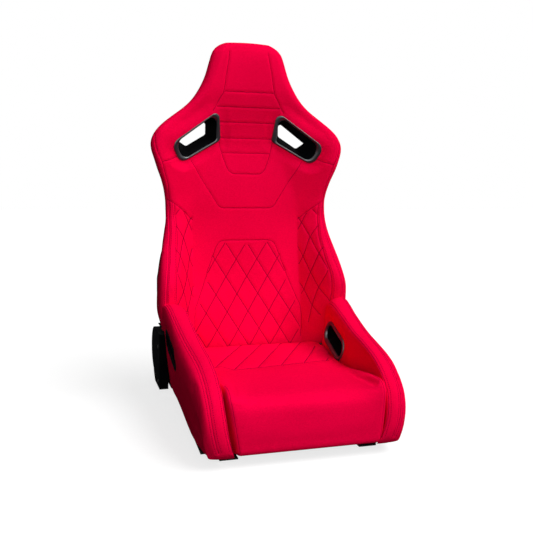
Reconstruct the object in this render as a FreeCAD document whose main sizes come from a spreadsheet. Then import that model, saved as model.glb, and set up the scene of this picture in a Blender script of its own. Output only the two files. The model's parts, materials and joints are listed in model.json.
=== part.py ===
import FreeCAD, Part
import math
import os

import Sketcher
from FreeCAD import Rotation, Vector

# Reclining racing seat, millimetres. +Z is up, the seat faces -Y and +X is the occupant's left.
# The origin is the centre of the four base bolts, on the plane that the seat stands on.

SIZES = {
    # base frame
    "bolt_span_x": 330,
    "bolt_span_y": 300,
    "bolt_hole_r": 4.2,
    "bolt_inset": 22,
    "web_wall": 3,
    "flange_wide": 40,
    "member_front": 230,
    "member_rear": 236,
    "web_high": 60,
    "web_rear_high": 88,
    "nut_across": 13,
    "nut_high": 6.5,
    "tube_r": 12.5,
    "tube_wall": 1.5,
    "front_tube_back": -224,
    "rear_tube_back": 205,
    "rear_tube_up": 66,
    "pan_up": 40,
    "pan_wall": 1.5,
    "pan_front": 256,
    "pan_rear": 186,
    "tray_wall": 2,
    "tray_front": 225,
    "tray_rear": 128,
    "tray_wide": 42,
    "fit_gap": 0.3,
    # recliner
    "pivot_back": 250,
    "pivot_up": 140,
    "pivot_r": 8,
    "running_fit": 0.05,
    "bush_wall": 2,
    "plate_half": 232.5,
    "plate_wall": 4,
    "plate_front": 162,
    "plate_low": 50,
    "lug_r": 52,
    "arm_gap": 1,
    "arm_wall": 4,
    "arm_wide": 28,
    "hub_r": 26,
    "arm_high": 300,
    "gear_module": 2,
    "sector_teeth": 52,
    "pinion_teeth": 14,
    "recline_angle": 60,
    "stop_pin_r": 4,
    "head_high": 6,
    "head_r": 13,
    "shaft_r": 8,
    "clip_wall": 1.2,
    "knob_r": 32,
    "knob_wide": 24,
    "knob_gap": 3,
    "cover_deep": 37.5,
    "cover_step": 13.5,
    "cover_wall": 2.5,
    "cover_r": 63,
    "cover_front": 152,
    "cover_low": 52,
    "screw_r": 2.5,
    # cushion and thigh bolsters
    "cushion_gap": 0.5,
    "cushion_up": 148,
    "cushion_front": 292,
    "cushion_nose_r": 42,
    "cushion_lip_low": 32,
    "crease_gap": 4,
    "bolster_wide": 71,
    "bolster_tuck": 22,
    "bolster_low": 20,
    "bolster_rise": 32,
    "bolster_front": 290,
    "bolster_rear": 150,
    "bolster_top_rear": 287,
    "bolster_top_mid": 237,
    "bolster_top_front": 199,
    "belt_back": 70,
    "belt_up": 182,
    "belt_long": 150,
    "belt_tall": 61,
    "belt_tilt": 16,
    "belt_ring": 15,
    "bezel_ring": 8,
    "bezel_wall": 2.5,
    "bezel_stand": 3,
    # backrest
    "frame_back": 318,
    "pad_r": 24,
    "lumbar_half": 157.5,
    "lumbar_top": 530,
    "shoulder_top": 835,
    "head_tall": 162,
    "head_half": 108,
    "neck_half": 163,
    "shoulder_half": 278,
    "waist_half": 236,
    "hip_tuck": 11,
    "hip_low": 204,
    "crest_front": 158,
    "shell_rear": 348,
    "shell_wall": 3,
    "shell_low": 150,
    "harness_span": 76,
    "harness_up": 726,
    "shoulder_margin": 55,
    "harness_tall": 84,
    "tunnel_wall": 2.5,
    "wire_r": 2,
}

SIDES = {"left": 1, "right": -1}

doc = FreeCAD.newDocument("racing_seat")
sheet = doc.addObject("Spreadsheet::Sheet", "Sizes")
for row, (alias, value) in enumerate(SIZES.items(), start=1):
    sheet.set(f"A{row}", alias)
    sheet.set(f"B{row}", str(value))
    sheet.setAlias(f"B{row}", alias)
doc.recompute()

# The web stands a named distance outside the bolt holes.
WEB_HALF = "(Sizes.bolt_span_x / 2 + Sizes.bolt_inset)"
# The thigh bolster is a named width outside the web, and the cover outside the plate.
BOLSTER_HALF = f"({WEB_HALF} + Sizes.bolster_wide)"
COVER_HALF = "(Sizes.plate_half + Sizes.cover_deep)"
COVER_INNER = "(Sizes.plate_half + Sizes.cover_step)"
# The head stands on the shoulders, and the hips follow the shoulders' width.
BACK_HIGH = "(Sizes.shoulder_top + Sizes.head_tall)"
HIP_HALF = "(Sizes.shoulder_half - Sizes.hip_tuck)"

nodes = []


def value(expression):
    """The number that a sheet expression gives now."""
    return float(sheet.evalExpression(expression))


def size(alias):
    return value(f"Sizes.{alias}")


def keep(item):
    """Mark an object as one of the seat's pieces."""
    nodes.append(item)
    return item


# Helpers for bodies, whose sketches are held by the sheet


def bind(item, **expressions):
    for path, expression in expressions.items():
        item.setExpression(path.replace("__", "."), expression)
    return item


def new_body(label, x="0", y="0", z="0"):
    body = doc.addObject("PartDesign::Body", label)
    doc.recompute()
    bind(body, Placement__Base__x=x, Placement__Base__y=y, Placement__Base__z=z)
    return body


def new_sketch(body, role):
    sketch = body.newObject("Sketcher::SketchObject", f"{body.Name}_sketch")
    plane = next(item for item in body.Origin.OriginFeatures if item.Role == role)
    sketch.AttachmentSupport = [(plane, "")]
    sketch.MapMode = "FlatFace"
    return sketch


def hold(sketch, kind, geometry, point, expression):
    index = sketch.addConstraint(
        Sketcher.Constraint(kind, -1, 1, geometry, point, value(expression)))
    sketch.setExpression(f"Constraints[{index}]", expression)


def polygon(sketch, corners):
    """A closed outline; each corner is a pair of sheet expressions."""
    spots = [Vector(value(u), value(v), 0) for u, v in corners]
    first = sketch.GeometryCount
    count = len(spots)
    for index in range(count):
        sketch.addGeometry(Part.LineSegment(spots[index], spots[(index + 1) % count]))
    for index in range(count):
        after = first + (index + 1) % count
        sketch.addConstraint(Sketcher.Constraint("Coincident", first + index, 2, after, 1))
    for index, (u, v) in enumerate(corners):
        hold(sketch, "DistanceX", first + index, 1, u)
        hold(sketch, "DistanceY", first + index, 1, v)


def circle(sketch, u, v, radius):
    middle = Vector(value(u), value(v), 0)
    index = sketch.addGeometry(Part.Circle(middle, Vector(0, 0, 1), value(radius)))
    hold(sketch, "DistanceX", index, 3, u)
    hold(sketch, "DistanceY", index, 3, v)
    spot = sketch.addConstraint(Sketcher.Constraint("Radius", index, value(radius)))
    sketch.setExpression(f"Constraints[{spot}]", radius)


def pad(body, sketch, length, start="0"):
    feature = body.newObject("PartDesign::Pad", f"{body.Name}_pad")
    feature.Profile = sketch
    bind(feature, Length=length)
    if start != "0":
        bind(sketch, AttachmentOffset__Base__z=start)
    doc.recompute()
    return feature


def pocket_through(body, sketch):
    """Cut a sketch through the whole body, both ways from its plane."""
    before = body.Shape.Volume
    feature = body.newObject("PartDesign::Pocket", f"{body.Name}_pocket")
    feature.Profile = sketch
    feature.Type = "ThroughAll"
    feature.Midplane = True
    doc.recompute()
    if body.Shape.Volume >= before:
        raise RuntimeError(f"{body.Name}: the pocket cuts nothing")
    return feature


def rod(label, radius, low, high, y, z):
    """A round bar along X between two sheet expressions."""
    bar = doc.addObject("Part::Cylinder", label)
    bar.Placement = FreeCAD.Placement(Vector(), Rotation(Vector(0, 1, 0), 90))
    bind(bar, Radius=radius, Height=f"{high} - ({low})")
    bind(bar, Placement__Base__x=low, Placement__Base__y=y, Placement__Base__z=z)
    return bar


def cut(label, base, tool):
    result = doc.addObject("Part::Cut", label)
    result.Base = base
    result.Tool = tool
    return result


def ring(label, outer, inner, low, high, y, z):
    return cut(label, rod(f"{label}_outside", outer, low, high, y, z),
               rod(f"{label}_bore", inner, low, high, y, z))


def group(label, items):
    """Separate solids of one kind in one node."""
    result = doc.addObject("Part::Compound", label)
    result.Links = items
    return result


def feature(label, shape):
    """A piece whose free shape is worked out from the sheet in code."""
    item = doc.addObject("Part::Feature", label)
    item.Shape = shape
    item.Placement = FreeCAD.Placement()
    return item


def side_x(side, inner, wall):
    """Where a plate starts in X, so that its inner face is as far out on both sides."""
    return f"{inner}" if side > 0 else f"-({inner}) - ({wall})"


def span_x(side, inner, outer):
    return (inner, outer) if side > 0 else (f"-({outer})", f"-({inner})")


# Helpers for free shapes


def loft(sections):
    """A solid with straight rulings between closed outlines of as many points."""
    wires = [Part.makePolygon(points + points[:1]) for points in sections]
    return Part.makeLoft(wires, True, True)


def rounded(points, radii):
    """A closed planar outline whose corners are arcs."""
    count = len(points)
    edges = []
    ends = []
    for index, radius in enumerate(radii):
        here = points[index]
        back = (points[index - 1] - here).normalize()
        ahead = (points[(index + 1) % count] - here).normalize()
        half = back.getAngle(ahead) / 2
        reach = radius / math.tan(half)
        middle = here + (back + ahead).normalize() * (radius / math.sin(half))
        start = here + back * reach
        end = here + ahead * reach
        top = middle + (here - middle).normalize() * radius
        ends.append((start, end))
        edges.append(Part.Arc(start, top, end).toShape())
    for index in range(count):
        after = ends[(index + 1) % count][0]
        edges.append(Part.makeLine(ends[index][1], after))
    return Part.Wire(Part.__sortEdges__(edges))


def bent_rod(points, radii, outer):
    """A bent round bar through the given corners."""
    edges = []
    start = points[0]
    for index in range(1, len(points) - 1):
        here = points[index]
        back = (points[index - 1] - here).normalize()
        ahead = (points[index + 1] - here).normalize()
        half = back.getAngle(ahead) / 2
        radius = radii[index - 1]
        reach = radius / math.tan(half)
        middle = here + (back + ahead).normalize() * (radius / math.sin(half))
        bend_in = here + back * reach
        bend_out = here + ahead * reach
        top = middle + (here - middle).normalize() * radius
        edges.append(Part.makeLine(start, bend_in))
        edges.append(Part.Arc(bend_in, top, bend_out).toShape())
        start = bend_out
    edges.append(Part.makeLine(start, points[-1]))
    path = Part.Wire(edges)
    profile = Part.Wire(Part.makeCircle(outer, points[0], points[1] - points[0]))
    return path.makePipeShell([profile], True, False)


def tube(points, radii):
    """A bent frame tube through the given corners."""
    outer = size("tube_r")
    return bent_rod(points, radii, outer).cut(bent_rod(points, radii, outer - size("tube_wall")))


def mirrored(shape, side):
    """The shape as it is on the left, or its mirror image on the right."""
    return shape if side > 0 else shape.mirror(Vector(), Vector(1, 0, 0))


def prism_x(face_points, low, high):
    outline = Part.makePolygon(face_points + face_points[:1])
    moved = Part.Face(outline)
    moved.translate(Vector(low, 0, 0))
    return moved.extrude(Vector(high - low, 0, 0))


def blend(table, height):
    """Straight-line interpolation in a table of (height, value) pairs."""
    for (low, first), (high, second) in zip(table, table[1:]):
        if height <= high:
            share = (height - low) / (high - low)
            return first + (second - first) * share
    return table[-1][1]


# Base frame


def side_member(name, side):
    """An L-section rail: an upright web and a flange with the two base bolt holes."""
    body = new_body(f"side_member_{name}", x=side_x(side, WEB_HALF, "Sizes.web_wall"))
    web = new_sketch(body, "YZ_Plane")
    polygon(web, [
        ("-Sizes.member_front", "0"),
        ("Sizes.member_rear", "0"),
        ("Sizes.member_rear", "Sizes.web_rear_high"),
        ("Sizes.plate_front + 6", "Sizes.web_rear_high"),
        ("Sizes.plate_front - 20", "Sizes.web_high"),
        ("-Sizes.member_front + 15", "Sizes.web_high"),
        ("-Sizes.member_front", "Sizes.web_high - 15"),
    ])
    circle(web, "Sizes.rear_tube_back", "Sizes.rear_tube_up", "Sizes.tube_r")
    pad(body, web, "Sizes.web_wall")
    flange = new_sketch(body, "XY_Plane")
    inner = f"{-side} * Sizes.flange_wide + {1 if side < 0 else 0} * Sizes.web_wall"
    near = "0" if side > 0 else "Sizes.web_wall"
    polygon(flange, [
        (inner, "-Sizes.member_front"),
        (near, "-Sizes.member_front"),
        (near, "Sizes.member_rear"),
        (inner, "Sizes.member_rear"),
    ])
    hole_x = f"{side} * Sizes.bolt_span_x / 2 - ({side_x(side, WEB_HALF, 'Sizes.web_wall')})"
    for end in (-1, 1):
        circle(flange, hole_x, f"{end} * Sizes.bolt_span_y / 2", "Sizes.bolt_hole_r")
    pad(body, flange, "Sizes.web_wall")
    return body


def weld_nut(index, side, end):
    nut = doc.addObject("Part::Prism", f"mount_nut_{index}_hex")
    nut.Polygon = 6
    bore = doc.addObject("Part::Cylinder", f"mount_nut_{index}_bore")
    bind(nut, Circumradius="Sizes.nut_across / sqrt(3)", Height="Sizes.nut_high")
    bind(bore, Radius="Sizes.bolt_hole_r", Height="Sizes.nut_high")
    for item in (nut, bore):
        bind(item, Placement__Base__x=f"{side} * Sizes.bolt_span_x / 2",
             Placement__Base__y=f"{end} * Sizes.bolt_span_y / 2",
             Placement__Base__z="Sizes.web_wall")
    return cut(f"mount_nut_{index}", nut, bore)


def seat_pan():
    """A pressed tray between the webs, turned down at the front, rear and sides."""
    body = new_body("seat_pan")
    top = new_sketch(body, "XY_Plane")
    polygon(top, [
        (f"-{WEB_HALF}", "-Sizes.pan_front"),
        (WEB_HALF, "-Sizes.pan_front"),
        (WEB_HALF, "Sizes.pan_rear"),
        (f"-{WEB_HALF}", "Sizes.pan_rear"),
    ])
    pad(body, top, "Sizes.pan_wall", "Sizes.pan_up")
    for edge, sign in (("-Sizes.pan_front", 1), ("Sizes.pan_rear", -1)):
        lip = new_sketch(body, "XY_Plane")
        inner = f"{edge} + {sign} * Sizes.pan_wall"
        polygon(lip, [
            (f"-{WEB_HALF}", edge),
            (WEB_HALF, edge),
            (WEB_HALF, inner),
            (f"-{WEB_HALF}", inner),
        ])
        pad(body, lip, "12", "Sizes.pan_up - 12")
    for sign in (-1, 1):
        wing = new_sketch(body, "XY_Plane")
        outer = f"{sign} * {WEB_HALF}"
        inner = f"{sign} * ({WEB_HALF} - Sizes.pan_wall)"
        polygon(wing, [
            (outer, "-Sizes.member_front + 20"),
            (outer, "Sizes.pan_rear"),
            (inner, "Sizes.pan_rear"),
            (inner, "-Sizes.member_front + 20"),
        ])
        pad(body, wing, "12", "Sizes.pan_up - 12")
    return body


def bolster_floor(back):
    """Height of the underside of the thigh bolster foam, as a sheet expression."""
    slope = "Sizes.bolster_rise / (Sizes.bolster_rear + Sizes.tray_front)"
    return f"(Sizes.bolster_low + (({back}) + Sizes.tray_front) * {slope})"


def bolster_tray(name, side):
    """A sheet tray outside the web that carries the thigh bolster foam."""
    body = new_body(f"bolster_tray_{name}",
                    x=side_x(side, f"{WEB_HALF} + Sizes.web_wall", "Sizes.tray_wide"))
    floor = new_sketch(body, "YZ_Plane")
    front = bolster_floor("-Sizes.tray_front")
    rear = bolster_floor("Sizes.tray_rear")
    polygon(floor, [
        ("-Sizes.tray_front", f"{front} - Sizes.fit_gap"),
        ("Sizes.tray_rear", f"{rear} - Sizes.fit_gap"),
        ("Sizes.tray_rear", f"{rear} - Sizes.fit_gap - Sizes.tray_wall"),
        ("-Sizes.tray_front", f"{front} - Sizes.fit_gap - Sizes.tray_wall"),
    ])
    pad(body, floor, "Sizes.tray_wide")
    return body


def base_frame():
    for name, side in SIDES.items():
        keep(side_member(name, side))
        keep(bolster_tray(name, side))
    spots = [(side, end) for side in (-1, 1) for end in (-1, 1)]
    keep(group("mount_nuts", [weld_nut(index, *spot) for index, spot in enumerate(spots)]))
    keep(seat_pan())
    keep(ring("front_cross_tube", "Sizes.tube_r", "Sizes.tube_r - Sizes.tube_wall",
              f"-{WEB_HALF}", WEB_HALF,
              "Sizes.front_tube_back", "Sizes.pan_up - Sizes.tube_r"))
    keep(ring("rear_cross_tube", "Sizes.tube_r", "Sizes.tube_r - Sizes.tube_wall",
              "-Sizes.plate_half", "Sizes.plate_half",
              "Sizes.rear_tube_back", "Sizes.rear_tube_up"))


# Recliner: fixed plates, drive shaft and covers

ARM_INNER = "(Sizes.plate_half + Sizes.plate_wall + Sizes.arm_gap)"
ARM_OUTER = f"({ARM_INNER} + Sizes.arm_wall)"
PLATE_OUTER = "(Sizes.plate_half + Sizes.plate_wall)"
CENTRE_GAP = "(Sizes.gear_module * (Sizes.sector_teeth + Sizes.pinion_teeth) / 2)"
SHAFT_UP = f"(Sizes.pivot_up - {CENTRE_GAP})"
BUSH_R = "(Sizes.shaft_r + Sizes.running_fit + Sizes.bush_wall)"
PIVOT_BUSH_R = "(Sizes.pivot_r + Sizes.running_fit + Sizes.bush_wall)"


def limb_end():
    """Where the arm's limb meets the back tube, seen from the side."""
    return size("frame_back"), size("hip_low") - 9


def limb_frame():
    """Unit vectors along the limb and square to it, towards the front and top."""
    end_y, end_z = limb_end()
    along = Vector(0, end_y - size("pivot_back"), end_z - size("pivot_up")).normalize()
    return along, Vector(0, -along.z, along.y)


def stop_spots():
    """Centres of the two stop pins: at the upright limb, and at the fan's edge when reclined."""
    pivot = Vector(0, size("pivot_back"), size("pivot_up"))
    along, across = limb_frame()
    reach = size("arm_wide") / 2 + size("stop_pin_r") + size("fit_gap")
    upright = pivot + along * (size("hub_r") + 12) + across * reach
    distance = size("lug_r") - 10
    lead = math.degrees(math.asin((size("stop_pin_r") + size("fit_gap")) / distance))
    angle = math.radians(FAN_FRONT + size("recline_angle") + lead)
    reclined = pivot + Vector(0, -math.sin(angle), -math.cos(angle)) * distance
    return upright, reclined


FAN_FRONT = 12
FAN_SPARE = 12


def recliner_plate(name, side):
    """The fixed plate that carries the pivot, the shaft bush and the stop pins."""
    body = new_body(f"recliner_plate_{name}", x=side_x(side, "Sizes.plate_half", "Sizes.plate_wall"))
    outline = new_sketch(body, "YZ_Plane")
    polygon(outline, [
        ("Sizes.plate_front", "Sizes.plate_low"),
        ("Sizes.pivot_back + 10", "Sizes.plate_low"),
        ("Sizes.pivot_back + 26", "Sizes.plate_low + 22"),
        ("Sizes.pivot_back + 26", "Sizes.pivot_up"),
        ("Sizes.pivot_back - 20", "Sizes.pivot_up + 40"),
        ("Sizes.plate_front", "Sizes.pivot_up + 40"),
    ])
    pad(body, outline, "Sizes.plate_wall")
    lug = new_sketch(body, "YZ_Plane")
    circle(lug, "Sizes.pivot_back", "Sizes.pivot_up", "Sizes.lug_r")
    pad(body, lug, "Sizes.plate_wall")
    holes = new_sketch(body, "YZ_Plane")
    circle(holes, "Sizes.pivot_back", "Sizes.pivot_up", "Sizes.pivot_r")
    circle(holes, "Sizes.pivot_back", SHAFT_UP, BUSH_R)
    for spot in stop_spots():
        circle(holes, str(round(spot.y, 4)), str(round(spot.z, 4)), "Sizes.stop_pin_r")
    for y, z in SCREW_SPOTS:
        circle(holes, y, z, "Sizes.screw_r")
    pocket_through(body, holes)
    return body


SCREW_SPOTS = [
    ("Sizes.plate_front + 10", "Sizes.plate_low + 20"),
    ("Sizes.plate_front + 10", "Sizes.pivot_up + 26"),
]


def recliner_brace(name, side):
    """A channel that ties the recliner plate to the side member's web."""
    length = f"(Sizes.plate_half - {WEB_HALF} - Sizes.web_wall)"
    body = new_body(f"recliner_brace_{name}", x=side_x(side, f"{WEB_HALF} + Sizes.web_wall", length))
    section = new_sketch(body, "YZ_Plane")
    polygon(section, [
        ("Sizes.plate_front + 2", "Sizes.plate_low + 2"),
        ("Sizes.plate_front + 28", "Sizes.plate_low + 2"),
        ("Sizes.plate_front + 28", "Sizes.plate_low + 26"),
        ("Sizes.plate_front + 28 - Sizes.web_wall", "Sizes.plate_low + 26"),
        ("Sizes.plate_front + 28 - Sizes.web_wall", "Sizes.plate_low + 2 + Sizes.web_wall"),
        ("Sizes.plate_front + 2 + Sizes.web_wall", "Sizes.plate_low + 2 + Sizes.web_wall"),
        ("Sizes.plate_front + 2 + Sizes.web_wall", "Sizes.plate_low + 26"),
        ("Sizes.plate_front + 2", "Sizes.plate_low + 26"),
    ])
    pad(body, section, length)
    return body


def pivot_bolt(name, side):
    """The shoulder bolt that the arm turns on, with its head outside."""
    y, z = "Sizes.pivot_back", "Sizes.pivot_up"
    low, high = span_x(side, "Sizes.plate_half - Sizes.nut_high - 1", f"{ARM_OUTER} + Sizes.fit_gap")
    shank = rod(f"pivot_shank_{name}", "Sizes.pivot_r", low, high, y, z)
    low, high = span_x(side, f"{ARM_OUTER} + Sizes.fit_gap",
                       f"{ARM_OUTER} + Sizes.fit_gap + Sizes.head_high - 2")
    head = rod(f"pivot_head_{name}", "Sizes.head_r", low, high, y, z)
    bolt = doc.addObject("Part::Fuse", f"pivot_bolt_{name}")
    bolt.Base = shank
    bolt.Tool = head
    return bolt


def pivot_nut(name, side):
    nut = doc.addObject("Part::Prism", f"pivot_nut_{name}_hex")
    nut.Polygon = 6
    nut.Placement = FreeCAD.Placement(Vector(), Rotation(Vector(0, 1, 0), 90))
    low, high = span_x(side, "Sizes.plate_half - Sizes.nut_high", "Sizes.plate_half")
    bind(nut, Circumradius="Sizes.pivot_r * 1.5", Height="Sizes.nut_high", Placement__Base__x=low,
         Placement__Base__y="Sizes.pivot_back", Placement__Base__z="Sizes.pivot_up")
    bore = rod(f"pivot_nut_{name}_bore", "Sizes.pivot_r", low, high, "Sizes.pivot_back",
               "Sizes.pivot_up")
    return cut(f"pivot_nut_{name}", nut, bore)


def stop_pins():
    pins = []
    for name, side in SIDES.items():
        low, high = span_x(side, "Sizes.plate_half", ARM_OUTER)
        for index, spot in enumerate(stop_spots()):
            pins.append(rod(f"stop_pin_{name}_{index}", "Sizes.stop_pin_r", low, high,
                            str(round(spot.y, 4)), str(round(spot.z, 4))))
    return group("stop_pins", pins)


def cover_outline(body, sketch_role, inset, length, start):
    """The cover's side view: a round nose about the pivot and a flat front and foot."""
    foot = new_sketch(body, sketch_role)
    polygon(foot, [
        (f"Sizes.cover_front + {inset}", f"Sizes.cover_low + {inset}"),
        (f"Sizes.pivot_back - 8 - {inset} / 2", f"Sizes.cover_low + {inset}"),
        (f"Sizes.pivot_back + 14 - {inset}", f"Sizes.cover_low + 16 + {inset} / 2"),
        (f"Sizes.pivot_back + Sizes.cover_r - {inset}", "Sizes.pivot_up"),
        ("Sizes.pivot_back", f"Sizes.pivot_up + Sizes.cover_r - {inset}"),
        (f"Sizes.cover_front + {inset}", f"Sizes.pivot_up + Sizes.cover_r - {inset}"),
    ])
    yield foot, length, start
    nose = new_sketch(body, sketch_role)
    circle(nose, "Sizes.pivot_back", "Sizes.pivot_up", f"Sizes.cover_r - {inset}")
    yield nose, length, start


def recliner_cover(name, side):
    """A moulded cap over the recliner, open on its inner side, with two screw bosses."""
    depth = f"({COVER_HALF} - {COVER_INNER})"
    body = new_body(f"recliner_cover_{name}", x=side_x(side, COVER_INNER, depth))
    for sketch, length, start in cover_outline(body, "YZ_Plane", "0", depth, "0"):
        pad(body, sketch, length, start)
    start = "0" if side > 0 else "Sizes.cover_wall"
    for sketch, length, begin in cover_outline(body, "YZ_Plane", "Sizes.cover_wall", depth, start):
        before = body.Shape.Volume
        hollow = body.newObject("PartDesign::Pocket", f"{body.Name}_hollow")
        hollow.Profile = sketch
        bind(hollow, Length=f"{depth} - Sizes.cover_wall")
        bind(sketch, AttachmentOffset__Base__z=begin)
        hollow.Reversed = True
        doc.recompute()
        if body.Shape.Volume >= before:
            raise RuntimeError(f"{body.Name}: the hollow cuts nothing")
    bosses = new_sketch(body, "YZ_Plane")
    for y, z in SCREW_SPOTS:
        circle(bosses, y, z, "Sizes.screw_r + 3")
    reach = f"({COVER_HALF} - {PLATE_OUTER})"
    begin = f"{PLATE_OUTER} - {COVER_INNER}" if side > 0 else "0"
    pad(body, bosses, reach, begin)
    holes = new_sketch(body, "YZ_Plane")
    for y, z in SCREW_SPOTS:
        circle(holes, y, z, "Sizes.screw_r")
    if side > 0:
        circle(holes, "Sizes.pivot_back", SHAFT_UP, "Sizes.shaft_r + 1.5")
    pocket_through(body, holes)
    return body


def cover_screws():
    screws = []
    for name, side in SIDES.items():
        for index, (y, z) in enumerate(SCREW_SPOTS):
            low, high = span_x(side, "Sizes.plate_half", COVER_HALF)
            shank = rod(f"cover_screw_shank_{name}_{index}", "Sizes.screw_r", low, high, y, z)
            low, high = span_x(side, COVER_HALF, f"{COVER_HALF} + 2")
            head = rod(f"cover_screw_head_{name}_{index}", "Sizes.screw_r * 2", low, high, y, z)
            screw = doc.addObject("Part::Fuse", f"cover_screw_{name}_{index}")
            screw.Base = shank
            screw.Tool = head
            screws.append(screw)
    return group("cover_screws", screws)


def recliner():
    for name, side in SIDES.items():
        keep(recliner_plate(name, side))
        keep(recliner_brace(name, side))
        keep(pivot_bolt(name, side))
        keep(recliner_cover(name, side))
        low, high = span_x(side, "Sizes.plate_half", PLATE_OUTER)
        keep(ring(f"shaft_bush_{name}", BUSH_R, "Sizes.shaft_r + Sizes.running_fit",
                  low, high, "Sizes.pivot_back", SHAFT_UP))
    keep(group("pivot_nuts", [pivot_nut(name, side) for name, side in SIDES.items()]))
    keep(stop_pins())
    keep(cover_screws())


# Gears

PRESSURE_ANGLE = math.radians(20)
ADDENDUM = 0.8
DEDENDUM = 1.15
BACKLASH = 0.35


def gear_outline(teeth, module, turn):
    """Points of an external involute gear; turn puts a tooth at that angle from +Y."""
    pitch = module * teeth / 2
    base = pitch * math.cos(PRESSURE_ANGLE)
    tip = pitch + ADDENDUM * module
    root = pitch - DEDENDUM * module
    half_tooth = math.pi / (2 * teeth) - BACKLASH / (2 * pitch)
    rolled = math.tan(PRESSURE_ANGLE) - PRESSURE_ANGLE
    flank = []
    steps = 5
    low = max(base, root)
    for step in range(steps + 1):
        radius = low + (tip - low) * step / steps
        spread = math.acos(min(1.0, base / radius))
        offset = half_tooth + rolled - (math.tan(spread) - spread)
        flank.append((radius, offset))
    points = []
    for tooth in range(teeth):
        middle = turn + 2 * math.pi * tooth / teeth
        side = [(root, flank[0][1])] + flank
        for radius, offset in side:
            points.append((radius, middle - offset))
        for radius, offset in reversed(side):
            points.append((radius, middle + offset))
    return [Vector(0, radius * math.cos(angle), radius * math.sin(angle)) for radius, angle in points]


def gear_blank(teeth, turn, middle):
    points = [middle + point for point in gear_outline(teeth, size("gear_module"), turn)]
    low = value(ARM_INNER)
    return prism_x(points, low, low + size("arm_wall"))


def pinion(name, side):
    middle = Vector(0, size("pivot_back"), value(SHAFT_UP))
    blank = gear_blank(int(size("pinion_teeth")), math.pi / 2, middle)
    bore = Part.makeCylinder(size("shaft_r"), size("arm_wall"),
                             middle + Vector(value(ARM_INNER), 0, 0), Vector(1, 0, 0))
    return feature(f"pinion_{name}", mirrored(blank.cut(bore), side))


def recliner_arm(name, side):
    """The moving plate: a hub, a limb up to the back tube and a toothed fan below."""
    low = value(ARM_INNER)
    wall = size("arm_wall")
    pivot = Vector(0, size("pivot_back"), size("pivot_up"))
    teeth = int(size("sector_teeth"))
    wheel = gear_blank(teeth, -math.pi / 2 + math.pi / teeth, pivot)
    reach = size("gear_module") * teeth
    fan = [pivot]
    last = size("recline_angle") + FAN_SPARE
    steps = 6
    for step in range(steps + 1):
        angle = math.radians(-FAN_FRONT + (last + FAN_FRONT) * step / steps)
        fan.append(pivot + Vector(0, math.sin(angle), -math.cos(angle)) * reach)
    shape = wheel.common(prism_x(fan, low, low + wall))
    along, across = limb_frame()
    half = size("arm_wide") / 2
    end = Vector(0, *limb_end())
    limb = [pivot - across * half, end - across * half, end + across * half, pivot + across * half]
    shape = shape.fuse(prism_x(limb, low, low + wall))
    tube_half = size("tube_r")
    strip = [
        Vector(0, size("frame_back") - tube_half, size("hip_low") - 16),
        Vector(0, size("frame_back") + tube_half, size("hip_low") - 16),
        Vector(0, size("frame_back") + tube_half, size("arm_high")),
        Vector(0, size("frame_back") - tube_half, size("arm_high")),
    ]
    shape = shape.fuse(prism_x(strip, low, low + wall))
    hub = Part.makeCylinder(size("hub_r"), wall, pivot + Vector(low, 0, 0), Vector(1, 0, 0))
    shape = shape.fuse(hub)
    bore = Part.makeCylinder(value(PIVOT_BUSH_R), wall, pivot + Vector(low, 0, 0), Vector(1, 0, 0))
    shape = shape.cut(bore)
    for up in ARM_BOLTS:
        spot = Vector(low, size("frame_back"), value(up))
        shape = shape.cut(Part.makeCylinder(size("bolt_hole_r"), wall, spot, Vector(1, 0, 0)))
    return feature(f"recliner_arm_{name}", mirrored(shape.removeSplitter(), side))


ARM_BOLTS = ["Sizes.arm_high - 16", "Sizes.hip_low + 22"]


def arm_bolts():
    """Bolts through each arm and back tube, with a head outside and a nut face inside."""
    bolts = []
    for name, side in SIDES.items():
        for index, up in enumerate(ARM_BOLTS):
            inner = f"{ARM_INNER} - 2 * Sizes.tube_r"
            low, high = span_x(side, inner, ARM_OUTER)
            shank = rod(f"arm_bolt_shank_{name}_{index}", "Sizes.bolt_hole_r", low, high,
                        "Sizes.frame_back", up)
            low, high = span_x(side, ARM_OUTER, f"{ARM_OUTER} + Sizes.head_high - 1")
            head = rod(f"arm_bolt_head_{name}_{index}", "Sizes.nut_across / 2", low, high,
                       "Sizes.frame_back", up)
            bolt = doc.addObject("Part::Fuse", f"arm_bolt_{name}_{index}")
            bolt.Base = shank
            bolt.Tool = head
            bolts.append(bolt)
    return group("arm_bolts", bolts)


# Drive shaft


def recline_knob():
    """A lobed hand knob with a hub that reaches in to the cover."""
    middle = Vector(value(COVER_HALF) + size("knob_gap"), size("pivot_back"), value(SHAFT_UP))
    wide = size("knob_wide")
    shape = Part.makeCylinder(size("knob_r"), wide, middle, Vector(1, 0, 0))
    lobes = 8
    groove_r = 7
    for lobe in range(lobes):
        angle = 2 * math.pi * lobe / lobes
        out = Vector(0, math.cos(angle), math.sin(angle)) * (size("knob_r") + groove_r - 3)
        shape = shape.cut(Part.makeCylinder(groove_r, wide, middle + out, Vector(1, 0, 0)))
    bore_long = wide - KNOB_FACE
    shape = shape.cut(Part.makeCylinder(size("shaft_r"), bore_long, middle, Vector(1, 0, 0)))
    recess = middle + Vector(wide - CAP_DEEP, 0, 0)
    shape = shape.cut(Part.makeCylinder(size("knob_r") - CAP_RIM, CAP_DEEP, recess, Vector(1, 0, 0)))
    return feature("recline_knob", shape)


KNOB_FACE = 6
CAP_DEEP = 2
CAP_RIM = 10


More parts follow.
